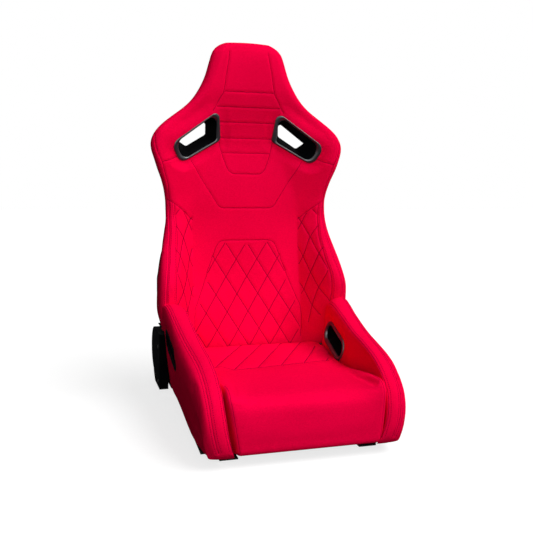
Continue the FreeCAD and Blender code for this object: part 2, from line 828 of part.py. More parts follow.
def drive_shaft():
    wide = f"({COVER_HALF} + Sizes.knob_gap + Sizes.knob_wide - {KNOB_FACE})"
    keep(rod("drive_shaft", "Sizes.shaft_r", f"-({ARM_OUTER} + Sizes.fit_gap + Sizes.clip_wall + 2)",
             wide, "Sizes.pivot_back", SHAFT_UP))
    clips = []
    for name, side in SIDES.items():
        keep(pinion(name, side))
        low, high = span_x(side, f"{ARM_OUTER} + Sizes.fit_gap",
                           f"{ARM_OUTER} + Sizes.fit_gap + Sizes.clip_wall")
        clips.append(ring(f"shaft_clip_{name}", "Sizes.shaft_r + 3", "Sizes.shaft_r", low, high,
                          "Sizes.pivot_back", SHAFT_UP))
    keep(group("shaft_clips", clips))
    keep(recline_knob())
    end = f"({COVER_HALF} + Sizes.knob_gap + Sizes.knob_wide)"
    keep(rod("knob_cap", f"Sizes.knob_r - {CAP_RIM}", f"{end} - {CAP_DEEP}", end,
             "Sizes.pivot_back", SHAFT_UP))


# Cushion and thigh bolsters


def cushion_foam():
    """The seat cushion: a block over the pan with a round nose and a lip in front of the pan."""
    half = value(WEB_HALF) - size("cushion_gap")
    top = size("cushion_up")
    floor = size("pan_up") + size("pan_wall") + size("fit_gap")
    front = -size("cushion_front")
    nose = size("cushion_nose_r")
    pan = -size("pan_front") - size("fit_gap")
    rear = size("pivot_back") - size("pad_r") - size("crease_gap")
    step = size("pan_rear")
    shelf = size("rear_tube_up") + size("tube_r") + 6
    points = [
        Vector(0, step, floor),
        Vector(0, step, shelf),
        Vector(0, rear, shelf),
        Vector(0, rear, top - 12),
        Vector(0, rear - 12, top),
        Vector(0, (rear + front) / 2, top + 4),
        Vector(0, front + nose + 40, top - 1),
    ]
    steps = 6
    for index in range(steps + 1):
        angle = math.radians(90 * index / steps)
        middle = Vector(0, front + nose, top - 4 - nose)
        points.append(middle + Vector(0, -math.sin(angle), math.cos(angle)) * nose)
    points += [
        Vector(0, front, size("cushion_lip_low") + 8),
        Vector(0, front + 8, size("cushion_lip_low")),
        Vector(0, pan, size("cushion_lip_low")),
        Vector(0, pan, floor),
    ]
    return feature("cushion_foam", prism_x(points, -half, half))


BOLSTER_STATIONS = 9


def bolster_top(back):
    """Height of the thigh bolster's crest along its length."""
    table = [
        (-size("bolster_front"), size("bolster_top_front") - 108),
        (-size("bolster_front") + 10, size("bolster_top_front") - 64),
        (-size("bolster_front") + 30, size("bolster_top_front") - 33),
        (-size("bolster_front") + 60, size("bolster_top_front") - 14),
        (-size("bolster_front") + 100, size("bolster_top_front")),
        (-48, size("bolster_top_mid")),
        (60, size("bolster_top_mid") + 30),
        (size("bolster_rear"), size("bolster_top_rear")),
    ]
    return blend(table, back)


def bolster_section(back):
    """One upright section of the left thigh bolster foam."""
    front = -size("bolster_front")
    gap = size("fit_gap") + 0.1
    inner = value(WEB_HALF) + size("web_wall") + gap
    floor = value(bolster_floor(str(max(back, -size("tray_front")))))
    top = bolster_top(back)
    run = (back - front) / (size("bolster_rear") - front)
    half = value(BOLSTER_HALF) - 16 * max(0, 1 - (back - front) / 60) ** 2
    seam = inner + 5 + 21 * run
    level = min(size("cushion_up") - 4, top - 30)
    foot = value(BOLSTER_HALF) - size("bolster_tuck") - 8 * max(0, 1 - (back - front) / 40)
    return [
        Vector(inner, back, floor),
        Vector(inner, back, level),
        Vector(seam, back, top - 13),
        Vector(seam + 6, back, top - 4),
        Vector(seam + 17, back, top),
        Vector(half - 7, back, top - 7),
        Vector(half, back, top - 28),
        Vector((half + foot) / 2 + 3, back, (top + floor) / 2 - 10),
        Vector(foot + 2, back, floor + 6),
        Vector(foot - 5, back, floor),
    ]


def belt_outline(grow):
    """The lap-belt slot seen from the side: a long round-ended shape that rises to the rear."""
    tilt = math.radians(size("belt_tilt"))
    along = Vector(0, math.cos(tilt), math.sin(tilt))
    across = Vector(0, -math.sin(tilt), math.cos(tilt))
    middle = Vector(0, size("belt_back"), size("belt_up"))
    half_long = size("belt_long") / 2 + grow
    half_tall = size("belt_tall") / 2 + grow
    corners = [
        middle - along * half_long - across * half_tall,
        middle + along * half_long - across * half_tall,
        middle + along * half_long + across * half_tall,
        middle - along * half_long + across * half_tall,
    ]
    return rounded(corners, [half_tall * 0.95] * 4)


def belt_prism(grow, low, high):
    face = Part.Face(belt_outline(grow))
    face.translate(Vector(low, 0, 0))
    return face.extrude(Vector(high - low, 0, 0))


def leaning_slab(x_low, x_high, near, far):
    """A slab between two parallel leaning planes; x_low and x_high are where it stands at two heights."""
    low_z, high_z = size("cushion_up") - 60, size("bolster_top_rear") + 40
    front, rear = -size("bolster_front"), size("bolster_rear") + 40
    corners = [
        Vector(x_low + near, front, low_z),
        Vector(x_low + far, front, low_z),
        Vector(x_high + far, front, high_z),
        Vector(x_high + near, front, high_z),
    ]
    face = Part.Face(Part.makePolygon(corners + corners[:1]))
    return face.extrude(Vector(0, rear - front, 0))


def inner_lean():
    """X of the bolster's inner face at the two heights of the slab."""
    section = bolster_section(size("belt_back"))
    foot, top = section[1], section[2]
    slope = (top.x - foot.x) / (top.z - foot.z)
    low_z, high_z = size("cushion_up") - 60, size("bolster_top_rear") + 40
    return foot.x + slope * (low_z - foot.z), foot.x + slope * (high_z - foot.z)


def outer_lean():
    section = bolster_section(size("belt_back"))
    top, middle = section[6], section[7]
    slope = (top.x - middle.x) / (top.z - middle.z)
    low_z, high_z = size("cushion_up") - 60, size("bolster_top_rear") + 40
    return top.x + slope * (low_z - top.z), top.x + slope * (high_z - top.z)


def belt_tunnel(grow):
    """The straight liner through the bolster, as wide as the flanges reach."""
    return belt_prism(grow - size("belt_ring"), value(WEB_HALF) - 40, value(BOLSTER_HALF) + 20)


def inner_flange(near, far, grow):
    slab = leaning_slab(*inner_lean(), near, far)
    return belt_prism(grow, value(WEB_HALF), value(BOLSTER_HALF) + 40).common(slab)


def outer_flange(near, far, grow):
    slab = leaning_slab(*outer_lean(), near, far)
    return belt_prism(grow, value(WEB_HALF) - 40, value(BOLSTER_HALF) + 40).common(slab)


def between_faces(near, far):
    """Space between the inner face and the outer face of the bolster."""
    low, high = inner_lean()
    outer_low, outer_high = outer_lean()
    low_z, high_z = size("cushion_up") - 60, size("bolster_top_rear") + 40
    front, rear = -size("bolster_front"), size("bolster_rear") + 40
    corners = [
        Vector(low + near, front, low_z),
        Vector(outer_low + far, front, low_z),
        Vector(outer_high + far, front, high_z),
        Vector(high + near, front, high_z),
    ]
    face = Part.Face(Part.makePolygon(corners + corners[:1]))
    return face.extrude(Vector(0, rear - front, 0))


FLANGE_DEEP = 1.5


def thigh_bolster(name, side):
    front, rear = -size("bolster_front"), size("bolster_rear")
    stops = [front, front + 10, front + 30, front + 60, front + 100, -48, 60, rear - 12, rear]
    sections = [bolster_section(back) for back in stops]
    end = sections[-1]
    middle = Vector(value(WEB_HALF) + 40, 0, 200)
    sections[-1] = [Vector(p.x + (middle.x - p.x) * 0.06, p.y, p.z + (middle.z - p.z) * 0.05) for p in end]
    shape = loft(sections)
    clear = size("fit_gap")
    stand = size("bezel_stand")
    shape = shape.cut(belt_tunnel(size("bezel_wall") + clear))
    shape = shape.cut(inner_flange(-stand - 40, FLANGE_DEEP + clear, clear))
    shape = shape.cut(outer_flange(-FLANGE_DEEP - clear, stand + 40, clear))
    return feature(f"thigh_bolster_{name}", mirrored(shape, side))


def belt_bezel_inner(name, side):
    """A flange on the inner face and the liner that runs through to the outer flange."""
    stand = size("bezel_stand")
    liner = belt_tunnel(size("bezel_wall")).common(between_faces(-stand + 1, -FLANGE_DEEP))
    shape = inner_flange(-stand, FLANGE_DEEP, 0).fuse(liner)
    shape = shape.cut(belt_tunnel(0))
    return feature(f"belt_bezel_inner_{name}", mirrored(shape.removeSplitter(), side))


def belt_bezel_outer(name, side):
    stand = size("bezel_stand")
    shape = outer_flange(-FLANGE_DEEP, stand, 0).cut(belt_tunnel(0))
    return feature(f"belt_bezel_outer_{name}", mirrored(shape, side))


def cushion():
    keep(cushion_foam())
    for name, side in SIDES.items():
        keep(thigh_bolster(name, side))
        keep(belt_bezel_inner(name, side))
        keep(belt_bezel_outer(name, side))


# Backrest foam


def foam_rear():
    return size("frame_back") - size("tube_r") - size("fit_gap")


def half_width(up):
    """Half the backrest's width at a height."""
    top = value(BACK_HIGH)
    joint = size("shoulder_top")
    shoulder = joint - 123
    waist = size("lumbar_top") - 10
    table = [
        (size("hip_low"), value(HIP_HALF) - 17),
        (size("hip_low") + 22, value(HIP_HALF) - 4),
        (size("hip_low") + 46, value(HIP_HALF)),
        (size("hip_low") + 124, value(HIP_HALF)),
        (size("hip_low") + 191, value(HIP_HALF) - 11),
        (waist - 42, size("waist_half") + 4),
        (waist, size("waist_half")),
        (waist + 43, size("waist_half") + 1),
        (shoulder - 100, (size("waist_half") + size("shoulder_half")) / 2 - 8),
        (shoulder - 67, size("shoulder_half") - 16),
        (shoulder - 30, size("shoulder_half") - 4),
        (shoulder, size("shoulder_half")),
        (shoulder + 24, size("shoulder_half") - 7),
        (shoulder + 48, size("shoulder_half") - 25),
        (shoulder + 83, size("shoulder_half") - 68),
        (joint, size("neck_half")),
        (joint + 45, (size("neck_half") + size("head_half")) / 2 - 2),
        (joint + 90, size("head_half") + 9),
        (top - 47, size("head_half")),
        (top - 25, size("head_half") - 10),
        (top - 8, size("head_half") - 27),
        (top, size("head_half") - 46),
    ]
    return blend(table, up)


def front_face(up):
    """Y of the backrest's front face on its middle plane."""
    joint = size("shoulder_top")
    waist = size("lumbar_top")
    crease = size("pivot_back") - size("pad_r")
    table = [
        (size("pivot_up"), crease),
        (size("hip_low"), crease + 16),
        (size("hip_low") + 66, crease + 30),
        (size("hip_low") + 136, crease + 44),
        (waist - 90, crease + 50),
        (waist, crease + 55),
        (joint - 195, crease + 62),
        (joint - 125, crease + 68),
        (joint - 45, crease + 58),
        (joint, crease + 48),
        (joint + 45, crease + 43),
        (value(BACK_HIGH) - 47, crease + 45),
        (value(BACK_HIGH) - 22, crease + 52),
        (value(BACK_HIGH), crease + 66),
    ]
    return blend(table, up)


def edge_face(up):
    """Y of the shoulder foam's front at its outer edge."""
    joint = size("shoulder_top")
    waist = size("lumbar_top")
    crest = size("crest_front")
    table = [
        (waist, crest + 104),
        (waist + 60, crest + 90),
        (joint - 171, crest + 76),
        (joint - 123, crest + 78),
        (joint - 75, crest + 88),
        (joint, crest + 108),
        (joint + 60, crest + 112),
        (value(BACK_HIGH) - 22, crest + 118),
        (value(BACK_HIGH), crest + 130),
    ]
    return blend(table, up)


def bowed_section(up):
    """A level section of foam that is hollow in front, from edge to edge."""
    rear = foam_rear()
    half = half_width(up)
    middle = front_face(up)
    edge = edge_face(up)
    shares = (1.0, 0.96, 0.8, 0.6, 0.3)
    right = []
    for share in shares:
        soft = 14 if share == 1.0 else 0
        right.append((half * share, middle + (edge - middle) * share ** 2 + soft))
    points = [Vector(half, rear, up)]
    points += [Vector(x, y, up) for x, y in right]
    points += [Vector(-x, y, up) for x, y in reversed(right)]
    points.append(Vector(-half, rear, up))
    return points


def head_foam():
    joint = size("shoulder_top")
    top = value(BACK_HIGH) - size("shell_wall")
    heights = [joint, joint + 45, joint + 90, top - 44, top - 22, top - 6, top]
    return feature("head_foam", loft([bowed_section(up) for up in heights]))


def harness_corners(grow=0.0):
    """The left harness opening's outer outline as (x, z), from its upper inner corner round."""
    span = size("harness_span")
    low = size("harness_up")
    wide = size("shoulder_half") - size("shoulder_margin") - span
    tall = size("harness_tall")
    corners = [
        Vector(span + 9, 0, low + tall),
        Vector(span, 0, low),
        Vector(span + wide * 0.805, 0, low - tall * 0.8),
        Vector(span + wide, 0, low - tall * 0.17),
    ]
    middle = Vector()
    for corner in corners:
        middle = middle + corner * 0.25
    return [corner + (corner - middle).normalize() * grow * 1.3 for corner in corners]


HARNESS_RADII = [14, 14, 20, 26]


def harness_loft(grow):
    """The tunnel through the backrest, a little smaller and higher at the rear."""
    ring_wide = size("bezel_ring") + 2
    front = harness_corners(grow - ring_wide)
    rear = harness_corners(grow - ring_wide - 2)
    wires = []
    for corners, back, lift in ((front, size("crest_front"), -8), (rear, size("shell_rear"), 6)):
        points = [Vector(p.x, back, p.z + (lift if index in (1, 2) else 0))
                  for index, p in enumerate(corners)]
        wires.append(rounded(points, [radius * 0.7 for radius in HARNESS_RADII]))
    return Part.makeLoft(wires, True, True)


def ring_plane(x, z):
    """Y of the harness bezel's front plane, which leans out and back."""
    corner = harness_corners()[0]
    middle = front_face(corner.z) - 6
    return middle - 0.361 * (x - corner.x) - 0.259 * (z - corner.z)


def ring_slab(near, far, grow):
    """The bezel's outline cut to a slab along its leaning plane."""
    outline = rounded(harness_corners(grow), HARNESS_RADII)
    face = Part.Face(outline)
    face.translate(Vector(0, size("crest_front") - 40, 0))
    prism = face.extrude(Vector(0, size("shell_rear") - size("crest_front") + 60, 0))
    spots = [(0, 500), (400, 500), (400, 1000), (0, 1000)]
    corners = [Vector(x, ring_plane(x, z) + near, z) for x, z in spots]
    slab = Part.Face(Part.makePolygon(corners + corners[:1])).extrude(Vector(0, far - near, 0))
    return prism.common(slab)


def harness_bezel(name, side):
    """The front flange with the liner that runs back to the rear shell."""
    stand = size("bezel_stand")
    liner = harness_loft(size("tunnel_wall"))
    shape = ring_slab(-stand, stand, 0).fuse(liner.common(ring_slab(0, 200, 0)))
    rear_cut = Part.makeBox(800, 100, 1200, Vector(-400, size("shell_rear") - size("shell_wall"), 0))
    shape = shape.cut(harness_loft(0)).cut(rear_cut)
    return feature(f"harness_bezel_{name}", mirrored(shape.removeSplitter(), side))


def harness_rear_bezel(name, side):
    """A ring on the rear shell that closes the liner's end."""
    rear = size("shell_rear")
    outline = rounded([Vector(p.x, rear, p.z) for p in harness_corners(-2)], HARNESS_RADII)
    ring_body = Part.Face(outline).extrude(Vector(0, size("bezel_stand"), 0))
    wires = []
    for back in (rear - 1, rear + size("bezel_stand") + 1):
        points = [Vector(p.x, back, p.z + (6 if index in (1, 2) else 0))
                  for index, p in enumerate(harness_corners(-size("bezel_ring") - 4))]
        wires.append(rounded(points, [radius * 0.7 for radius in HARNESS_RADII]))
    shape = ring_body.cut(Part.makeLoft(wires, True, True))
    return feature(f"harness_rear_bezel_{name}", mirrored(shape, side))


def shoulder_foam():
    low, high = size("lumbar_top"), size("shoulder_top")
    heights = [low, low + 70, high - 171, high - 123, high - 99, high - 75, high - 40, high]
    shape = loft([bowed_section(up) for up in heights])
    clear = size("fit_gap")
    for side in SIDES.values():
        tunnel = harness_loft(size("tunnel_wall") + clear)
        seat = ring_slab(-200, size("bezel_stand") + clear, clear)
        shape = shape.cut(mirrored(tunnel, side)).cut(mirrored(seat, side))
    return feature("shoulder_foam", shape)


def lumbar_foam():
    """The lower back pad, round about the pivot at its foot so that it turns clear of the cushion."""
    pivot = Vector(0, size("pivot_back"), size("pivot_up"))
    rear = foam_rear()
    heights = [size("hip_low"), size("hip_low") + 66, size("hip_low") + 136,
               size("lumbar_top") - 90, size("lumbar_top")]
    points = []
    steps = 6
    for index in range(steps + 1):
        angle = math.radians(90 * index / steps)
        points.append(pivot + Vector(0, -math.cos(angle), -math.sin(angle)) * size("pad_r"))
    points.append(Vector(0, rear, size("pivot_up") + 10))
    points.append(Vector(0, rear, size("lumbar_top")))
    points += [Vector(0, front_face(up), up) for up in reversed(heights)]
    half = size("lumbar_half")
    return feature("lumbar_foam", prism_x(points, -half, half))


def back_bolster_section(up):
    """A level section of the left back bolster."""
    rear = foam_rear()
    inner = size("lumbar_half") + 0.2
    half = half_width(up)
    crest = size("crest_front")
    waist = size("lumbar_top")
    low = size("hip_low")
    front_table = [
        (low, crest + 4),
        (low + 66, crest),
        (low + 136, crest + 2),
        (low + 166, crest + 14),
        (low + 196, crest + 38),
        (low + 226, crest + 60),
        (low + 250, crest + 74),
        (low + 274, crest + 90),
        (waist, crest + 98),
    ]
    front = blend(front_table, up)
    groove = front_face(up) - 4
    seam = inner + (half - inner) * 0.6
    deep = min(1, (rear - 12 - front) / 58)
    return [
        Vector(inner, rear, up),
        Vector(inner, groove, up),
        Vector(inner + (seam - inner) * 0.45, front + (groove - front) * 0.5, up),
        Vector(seam - 4, front + 6 * deep, up),
        Vector(seam + 6, front, up),
        Vector(seam + (half - seam) * 0.55, front + 12 * deep, up),
        Vector(half - 3, front + 34 * deep, up),
        Vector(half, front + 58 * deep, up),
        Vector(half - 4, rear, up),
    ]


def back_bolster(name, side):
    """The side bolster, with a narrower foot that reaches down beside the lower back pad."""
    low = size("hip_low")
    heights = [low, low + 22, low + 66, low + 136, low + 166, low + 196, low + 226, low + 250,
               low + 274, size("lumbar_top")]
    shape = loft([back_bolster_section(up) for up in heights])
    foot_half = size("plate_half") - size("nut_high") - 4
    foot_low = size("pivot_up") + 2
    over_cushion = size("cushion_up") + 9
    crease = size("pivot_back") - size("pad_r") + 0.5
    front = size("crest_front") + 8
    inner = size("lumbar_half") + 0.2
    foot = [
        Vector(0, front + 10, over_cushion),
        Vector(0, crease, over_cushion),
        Vector(0, crease, foot_low),
        Vector(0, foam_rear(), foot_low),
        Vector(0, foam_rear(), low + 1),
        Vector(0, front, low + 1),
        Vector(0, front, over_cushion + 10),
    ]
    lower = prism_x(foot, inner, foot_half)
    plan = [
        Vector(inner, foam_rear(), foot_low),
        Vector(inner, front_face(low) - 4, foot_low),
        Vector(inner + 60, front, foot_low),
        Vector(foot_half, front, foot_low),
        Vector(foot_half, foam_rear(), foot_low),
    ]
    raised = [Vector(p.x, p.y, low + 1) for p in plan]
    shape = shape.fuse(lower.common(loft([plan, raised])))
    return feature(f"back_bolster_{name}", mirrored(shape.removeSplitter(), side))


# Back frame


def frame_point(x, up):
    return Vector(x, size("frame_back"), up)


def shoulder_run():
    """Ends of the shoulder tube's straight middle run, above and outside the harness opening."""
    corners = harness_corners()
    upper, outer = corners[0], corners[3]
    along = (outer - upper).normalize()
    out = Vector(-along.z, 0, along.x)
    if out.x < 0:
        out = out * -1
    rise = size("tube_r") + 17
    return outer + out * rise, upper + out * rise


def back_tube_path():
    """Corners and bend radii of the upright, drawn in at the waist and out again at the shoulder."""
    outer_end, inner_end = shoulder_run()
    bend = frame_point(outer_end.x, outer_end.z)
    ahead = frame_point(inner_end.x, inner_end.z)
    low_x = value(ARM_INNER) - size("tube_r")
    waist_x = size("waist_half") - size("tube_r") - 15
    points = [
        frame_point(low_x, size("hip_low") + 10),
        frame_point(low_x, size("arm_high") + 30),
        frame_point(waist_x, size("lumbar_top") - 30),
        frame_point(waist_x, size("lumbar_top") + 30),
        frame_point(outer_end.x, outer_end.z - 55),
        bend,
        bend + (ahead - bend).normalize() * 34,
    ]
    return points, [120, 120, 90, 60, 30]


def back_tube(name, side):
    low_x = value(ARM_INNER) - size("tube_r")
    shape = tube(*back_tube_path())
    for up in ARM_BOLTS:
        spot = Vector(low_x - 30, size("frame_back"), value(up))
        shape = shape.cut(Part.makeCylinder(size("bolt_hole_r"), 60, spot, Vector(1, 0, 0)))
    return feature(f"back_tube_{name}", mirrored(shape, side))


def shoulder_tube(name, side):
    outer_end, inner_end = shoulder_run()
    bend = frame_point(outer_end.x, outer_end.z)
    ahead = frame_point(inner_end.x, inner_end.z)
    along = (ahead - bend).normalize()
    points = [bend + along * 34, ahead - along * 24]
    shape = tube(points, [])
    return feature(f"shoulder_tube_{name}", mirrored(shape, side))


def head_hoop():
    """The tube over the head, from one shoulder tube to the other."""
    outer_end, inner_end = shoulder_run()
    bend = frame_point(outer_end.x, outer_end.z)
    ahead = frame_point(inner_end.x, inner_end.z)
    along = (ahead - bend).normalize()
    top = value(BACK_HIGH) - 32
    head_x = size("head_half") - 24
    left = [ahead - along * 24, ahead, frame_point(head_x + 8, ahead.z + 50), frame_point(head_x, top)]
    right = [Vector(-p.x, p.y, p.z) for p in reversed(left)]
    shape = tube(left + right, [36, 60, 28, 28, 60, 36])
    return feature("head_hoop", shape)


def back_cross_tubes():
    """Cross tubes between the uprights, low down, at the waist and under the harness openings."""
    low_x = f"({ARM_INNER} - 2 * Sizes.tube_r)"
    waist_x = "(Sizes.waist_half - 2 * Sizes.tube_r - 15)"
    inner_r = "Sizes.tube_r * 0.72"
    tubes = []
    for index, (half, up) in enumerate(((low_x, "Sizes.arm_high - 28"),
                                        (waist_x, "Sizes.lumbar_top"))):
        tubes.append(ring(f"back_cross_tube_{index}", inner_r, f"{inner_r} - Sizes.tube_wall",
                          f"-{half}", half, "Sizes.frame_back", up))
    return group("back_cross_tubes", tubes)


WIRE_ROWS = 5


def back_suspension():
    """A wire mat between the uprights that backs the lower foam."""
    radius = size("wire_r")
    low, high = size("arm_high") + 6, size("lumbar_top") - 40
    half = value(ARM_INNER) - size("tube_r")
    wires = []
    for row in range(WIRE_ROWS):
        up = low + (high - low) * row / (WIRE_ROWS - 1)
        wires.append(Part.makeCylinder(radius, 2 * half, frame_point(-half, up), Vector(1, 0, 0)))
    shape = wires[0].fuse(wires[1:])
    upright = bent_rod(*back_tube_path(), size("tube_r"))
    for side in SIDES.values():
        shape = shape.cut(mirrored(upright, side))
    rows = [solid for solid in shape.Solids if abs(solid.CenterOfMass.x) < 1]
    shape = rows[0].fuse(rows[1:])
    for x in (-110, 0, 110):
        spot = frame_point(x, low)
        shape = shape.fuse(Part.makeCylinder(radius, high - low, spot, Vector(0, 0, 1)))
    return feature("back_suspension", shape.removeSplitter())


# Rear shell


def shell_section(up, inset, half_cap=None):
    """A level section of the rear shell, open towards the foam when it is the inner one."""
    half = half_width(max(up, size("hip_low"))) if half_cap is None else half_cap
    half = half - inset
    front = foam_rear() + size("fit_gap") - (40 if inset else 0)
    rear = size("shell_rear") - inset
    return [
        Vector(half, front, up),
        Vector(half, rear - 22, up),
        Vector(half - 9, rear - 8, up),
        Vector(half - 28, rear, up),
        Vector(-half + 28, rear, up),
        Vector(-half + 9, rear - 8, up),
        Vector(-half, rear - 22, up),
        Vector(-half, front, up),
    ]


SHELL_BOSS_R = 7


def shell_spots():
    """Where the shell is screwed to the frame, as (x, height)."""
    low_x = value(ARM_INNER) - size("tube_r")
    waist_x = size("waist_half") - size("tube_r") - 15
    return [(low_x - 6, size("arm_high") + 20), (waist_x, size("lumbar_top") + 8)]


def back_shell():
    """The moulded rear panel with its side walls, open in front and at its foot."""
    wall = size("shell_wall")
    low = size("hip_low") + 2
    top = value(BACK_HIGH)
    joint = size("shoulder_top")
    heights = [low, low + 20, low + 44, low + 122, low + 189, size("lumbar_top") - 52,
               size("lumbar_top") - 10, size("lumbar_top") + 33, joint - 223, joint - 190, joint - 153,
               joint - 123, joint - 99, joint - 75, joint - 40, joint, joint + 45, joint + 90,
               top - 47, top - 25, top - 8, top]
    outside = loft([shell_section(up, 0) for up in heights])
    inner_heights = [low - 20] + heights[1:-1] + [top - wall]
    inside = loft([shell_section(up, wall) for up in inner_heights])
    shape = outside.cut(inside)
    foot_half = size("plate_half") - size("fit_gap") * 8
    foot_low = size("shell_low")
    outer_foot = loft([shell_section(up, 0, foot_half) for up in (foot_low, low + 4)])
    inner_foot = loft([shell_section(up, wall, foot_half) for up in (foot_low + wall, low + 30)])
    shape = shape.fuse(outer_foot.cut(inner_foot))
    clear = size("fit_gap")
    for side in SIDES.values():
        shape = shape.cut(mirrored(harness_loft(size("tunnel_wall") + clear), side))
    rear = size("shell_rear")
    tab_face = size("frame_back") + size("tube_r") + size("web_wall")
    for side in SIDES.values():
        for x, up in shell_spots():
            spot = Vector(side * x, tab_face, up)
            boss = Part.makeCylinder(SHELL_BOSS_R, rear - wall - tab_face + 0.5, spot, Vector(0, 1, 0))
            shape = shape.fuse(boss)
    for side in SIDES.values():
        for x, up in shell_spots():
            spot = Vector(side * x, tab_face - 5, up)
            shape = shape.cut(Part.makeCylinder(size("screw_r"), 60, spot, Vector(0, 1, 0)))
    return feature("back_shell", shape.removeSplitter())


def shell_tabs():
    """Flat tabs welded to the back of the uprights."""
    tabs = []
    face = size("frame_back") + size("tube_r")
    for side in SIDES.values():
        for x, up in shell_spots():
            corner = Vector(side * x - 13, face, up - 12)
            tab = Part.makeBox(26, size("web_wall"), 24, corner)
            spot = Vector(side * x, face - 1, up)
            tabs.append(tab.cut(Part.makeCylinder(size("screw_r"), 10, spot, Vector(0, 1, 0))))
    return feature("shell_tabs", Part.makeCompound(tabs))


def shell_screws():
    screws = []
    face = size("frame_back") + size("tube_r")
    rear = size("shell_rear")
    for side in SIDES.values():
        for x, up in shell_spots():
            spot = Vector(side * x, face, up)
            shank = Part.makeCylinder(size("screw_r"), rear - face, spot, Vector(0, 1, 0))
            head = Part.makeCylinder(size("screw_r") * 2, 2, Vector(side * x, rear, up), Vector(0, 1, 0))
            screws.append(shank.fuse(head))
    return feature("shell_screws", Part.makeCompound(screws))


def backrest():
    keep(lumbar_foam())
    keep(shoulder_foam())
    keep(head_foam())
    keep(head_hoop())
    keep(back_cross_tubes())
    keep(back_suspension())
    keep(arm_bolts())
    keep(back_shell())
    keep(shell_tabs())
    keep(shell_screws())
    for name, side in SIDES.items():
        keep(back_bolster(name, side))
        keep(harness_bezel(name, side))
        keep(harness_rear_bezel(name, side))
        keep(back_tube(name, side))
        keep(shoulder_tube(name, side))
        keep(recliner_arm(name, side))
        low, high = span_x(side, ARM_INNER, ARM_OUTER)
        keep(ring(f"pivot_bush_{name}", PIVOT_BUSH_R, "Sizes.pivot_r + Sizes.running_fit",
                  low, high, "Sizes.pivot_back", "Sizes.pivot_up"))


def check():
    """Stop if any object failed or any piece has no sound shape."""
    for item in doc.Objects:
        if "Invalid" in item.State or "Error" in item.State:
            raise RuntimeError(f"{item.Name} failed: {item.State}")
    for item in nodes:
        if item.Shape.isNull() or not item.Shape.isValid():
            raise RuntimeError(f"{item.Name} has no sound shape")


def main():
    base_frame()
    recliner()
    drive_shaft()
    cushion()
    backrest()
    doc.recompute()
    check()
    os.makedirs("parts", exist_ok=True)
    for item in nodes:
        item.Shape.exportStep(f"parts/{item.Label}.step")
    print(f"{len(nodes)} pieces")


main()
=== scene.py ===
import json
import math

import bmesh
import bpy
import numpy as np
from mathutils import Matrix, Vector
from mathutils.bvhtree import BVHTree
from mathutils.kdtree import KDTree

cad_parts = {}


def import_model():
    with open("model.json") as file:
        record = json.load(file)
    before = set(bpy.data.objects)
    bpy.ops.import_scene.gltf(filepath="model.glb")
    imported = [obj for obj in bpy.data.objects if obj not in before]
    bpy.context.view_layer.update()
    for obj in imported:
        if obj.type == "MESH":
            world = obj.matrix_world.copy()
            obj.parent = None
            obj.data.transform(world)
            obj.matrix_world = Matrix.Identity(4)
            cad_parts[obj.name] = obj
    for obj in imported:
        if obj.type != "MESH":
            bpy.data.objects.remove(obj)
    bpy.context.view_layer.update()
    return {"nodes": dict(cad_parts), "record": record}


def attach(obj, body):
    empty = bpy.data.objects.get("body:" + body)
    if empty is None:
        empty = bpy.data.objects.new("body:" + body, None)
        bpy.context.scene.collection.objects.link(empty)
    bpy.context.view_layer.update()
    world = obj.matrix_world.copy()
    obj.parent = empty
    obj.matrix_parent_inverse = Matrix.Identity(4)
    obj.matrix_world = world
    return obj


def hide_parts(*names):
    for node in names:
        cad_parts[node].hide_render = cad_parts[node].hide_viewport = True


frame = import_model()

nodes = frame["nodes"]
scene = bpy.context.scene

# Lengths are in millimetres until a mesh is made. X is the viewer's right, Y the rear and Z up.
MM = 0.001

# Camera
IMAGE = 533
FOCAL = 714.4
CENTRE_PIXEL = (267.0, 254.3)
CAMERA_PLACE = (-530.2, -1718.5, 649.4)
YAW, PITCH, ROLL = 16.549, 6.875, 0.972
SENSOR = 36
CAMERA_REACH = 50


def camera():
    """The photograph's viewpoint."""
    data = bpy.data.cameras.new("camera")
    data.sensor_width = SENSOR
    data.lens = FOCAL / IMAGE * data.sensor_width
    data.shift_x = (IMAGE / 2 - CENTRE_PIXEL[0]) / IMAGE
    data.shift_y = (CENTRE_PIXEL[1] - IMAGE / 2) / IMAGE
    data.clip_end = CAMERA_REACH
    obj = bpy.data.objects.new("camera", data)
    scene.collection.objects.link(obj)
    turn = (Matrix.Rotation(-math.radians(YAW), 4, "Z")
            @ Matrix.Rotation(math.pi / 2 - math.radians(PITCH), 4, "X")
            @ Matrix.Rotation(math.radians(ROLL), 4, "Z"))
    obj.matrix_world = Matrix.Translation(Vector(CAMERA_PLACE) * MM) @ turn
    scene.camera = obj


camera()


# Numbers

def table(rows, at):
    """Monotone smooth interpolation of (place, value, ...) rows."""
    rows = np.array(rows, float)
    at = np.asarray(at, float)
    x = rows[:, 0]
    out = []
    for y in rows[:, 1:].T:
        h = np.diff(x)
        d = np.diff(y) / h
        m = np.zeros(len(x))
        for i in range(1, len(x) - 1):
            if d[i - 1] * d[i] > 0:
                a, b = 2 * h[i] + h[i - 1], h[i] + 2 * h[i - 1]
                m[i] = (a + b) / (a / d[i - 1] + b / d[i])
        m[0], m[-1] = d[0], d[-1]
        k = np.clip(np.searchsorted(x, at, "right") - 1, 0, len(x) - 2)
        t = np.clip((at - x[k]) / h[k], 0, 1)
        out.append((2 * t**3 - 3 * t**2 + 1) * y[k] + (t**3 - 2 * t**2 + t) * h[k] * m[k]
                   + (3 * t**2 - 2 * t**3) * y[k + 1] + (t**3 - t**2) * h[k] * m[k + 1])
    return out if len(out) > 1 else out[0]


def smoothstep(low, high, value):
    """0 below low, 1 above high and a smooth rise between."""
    t = np.clip((value - low) / (high - low), 0, 1)
    return t * t * (3 - 2 * t)


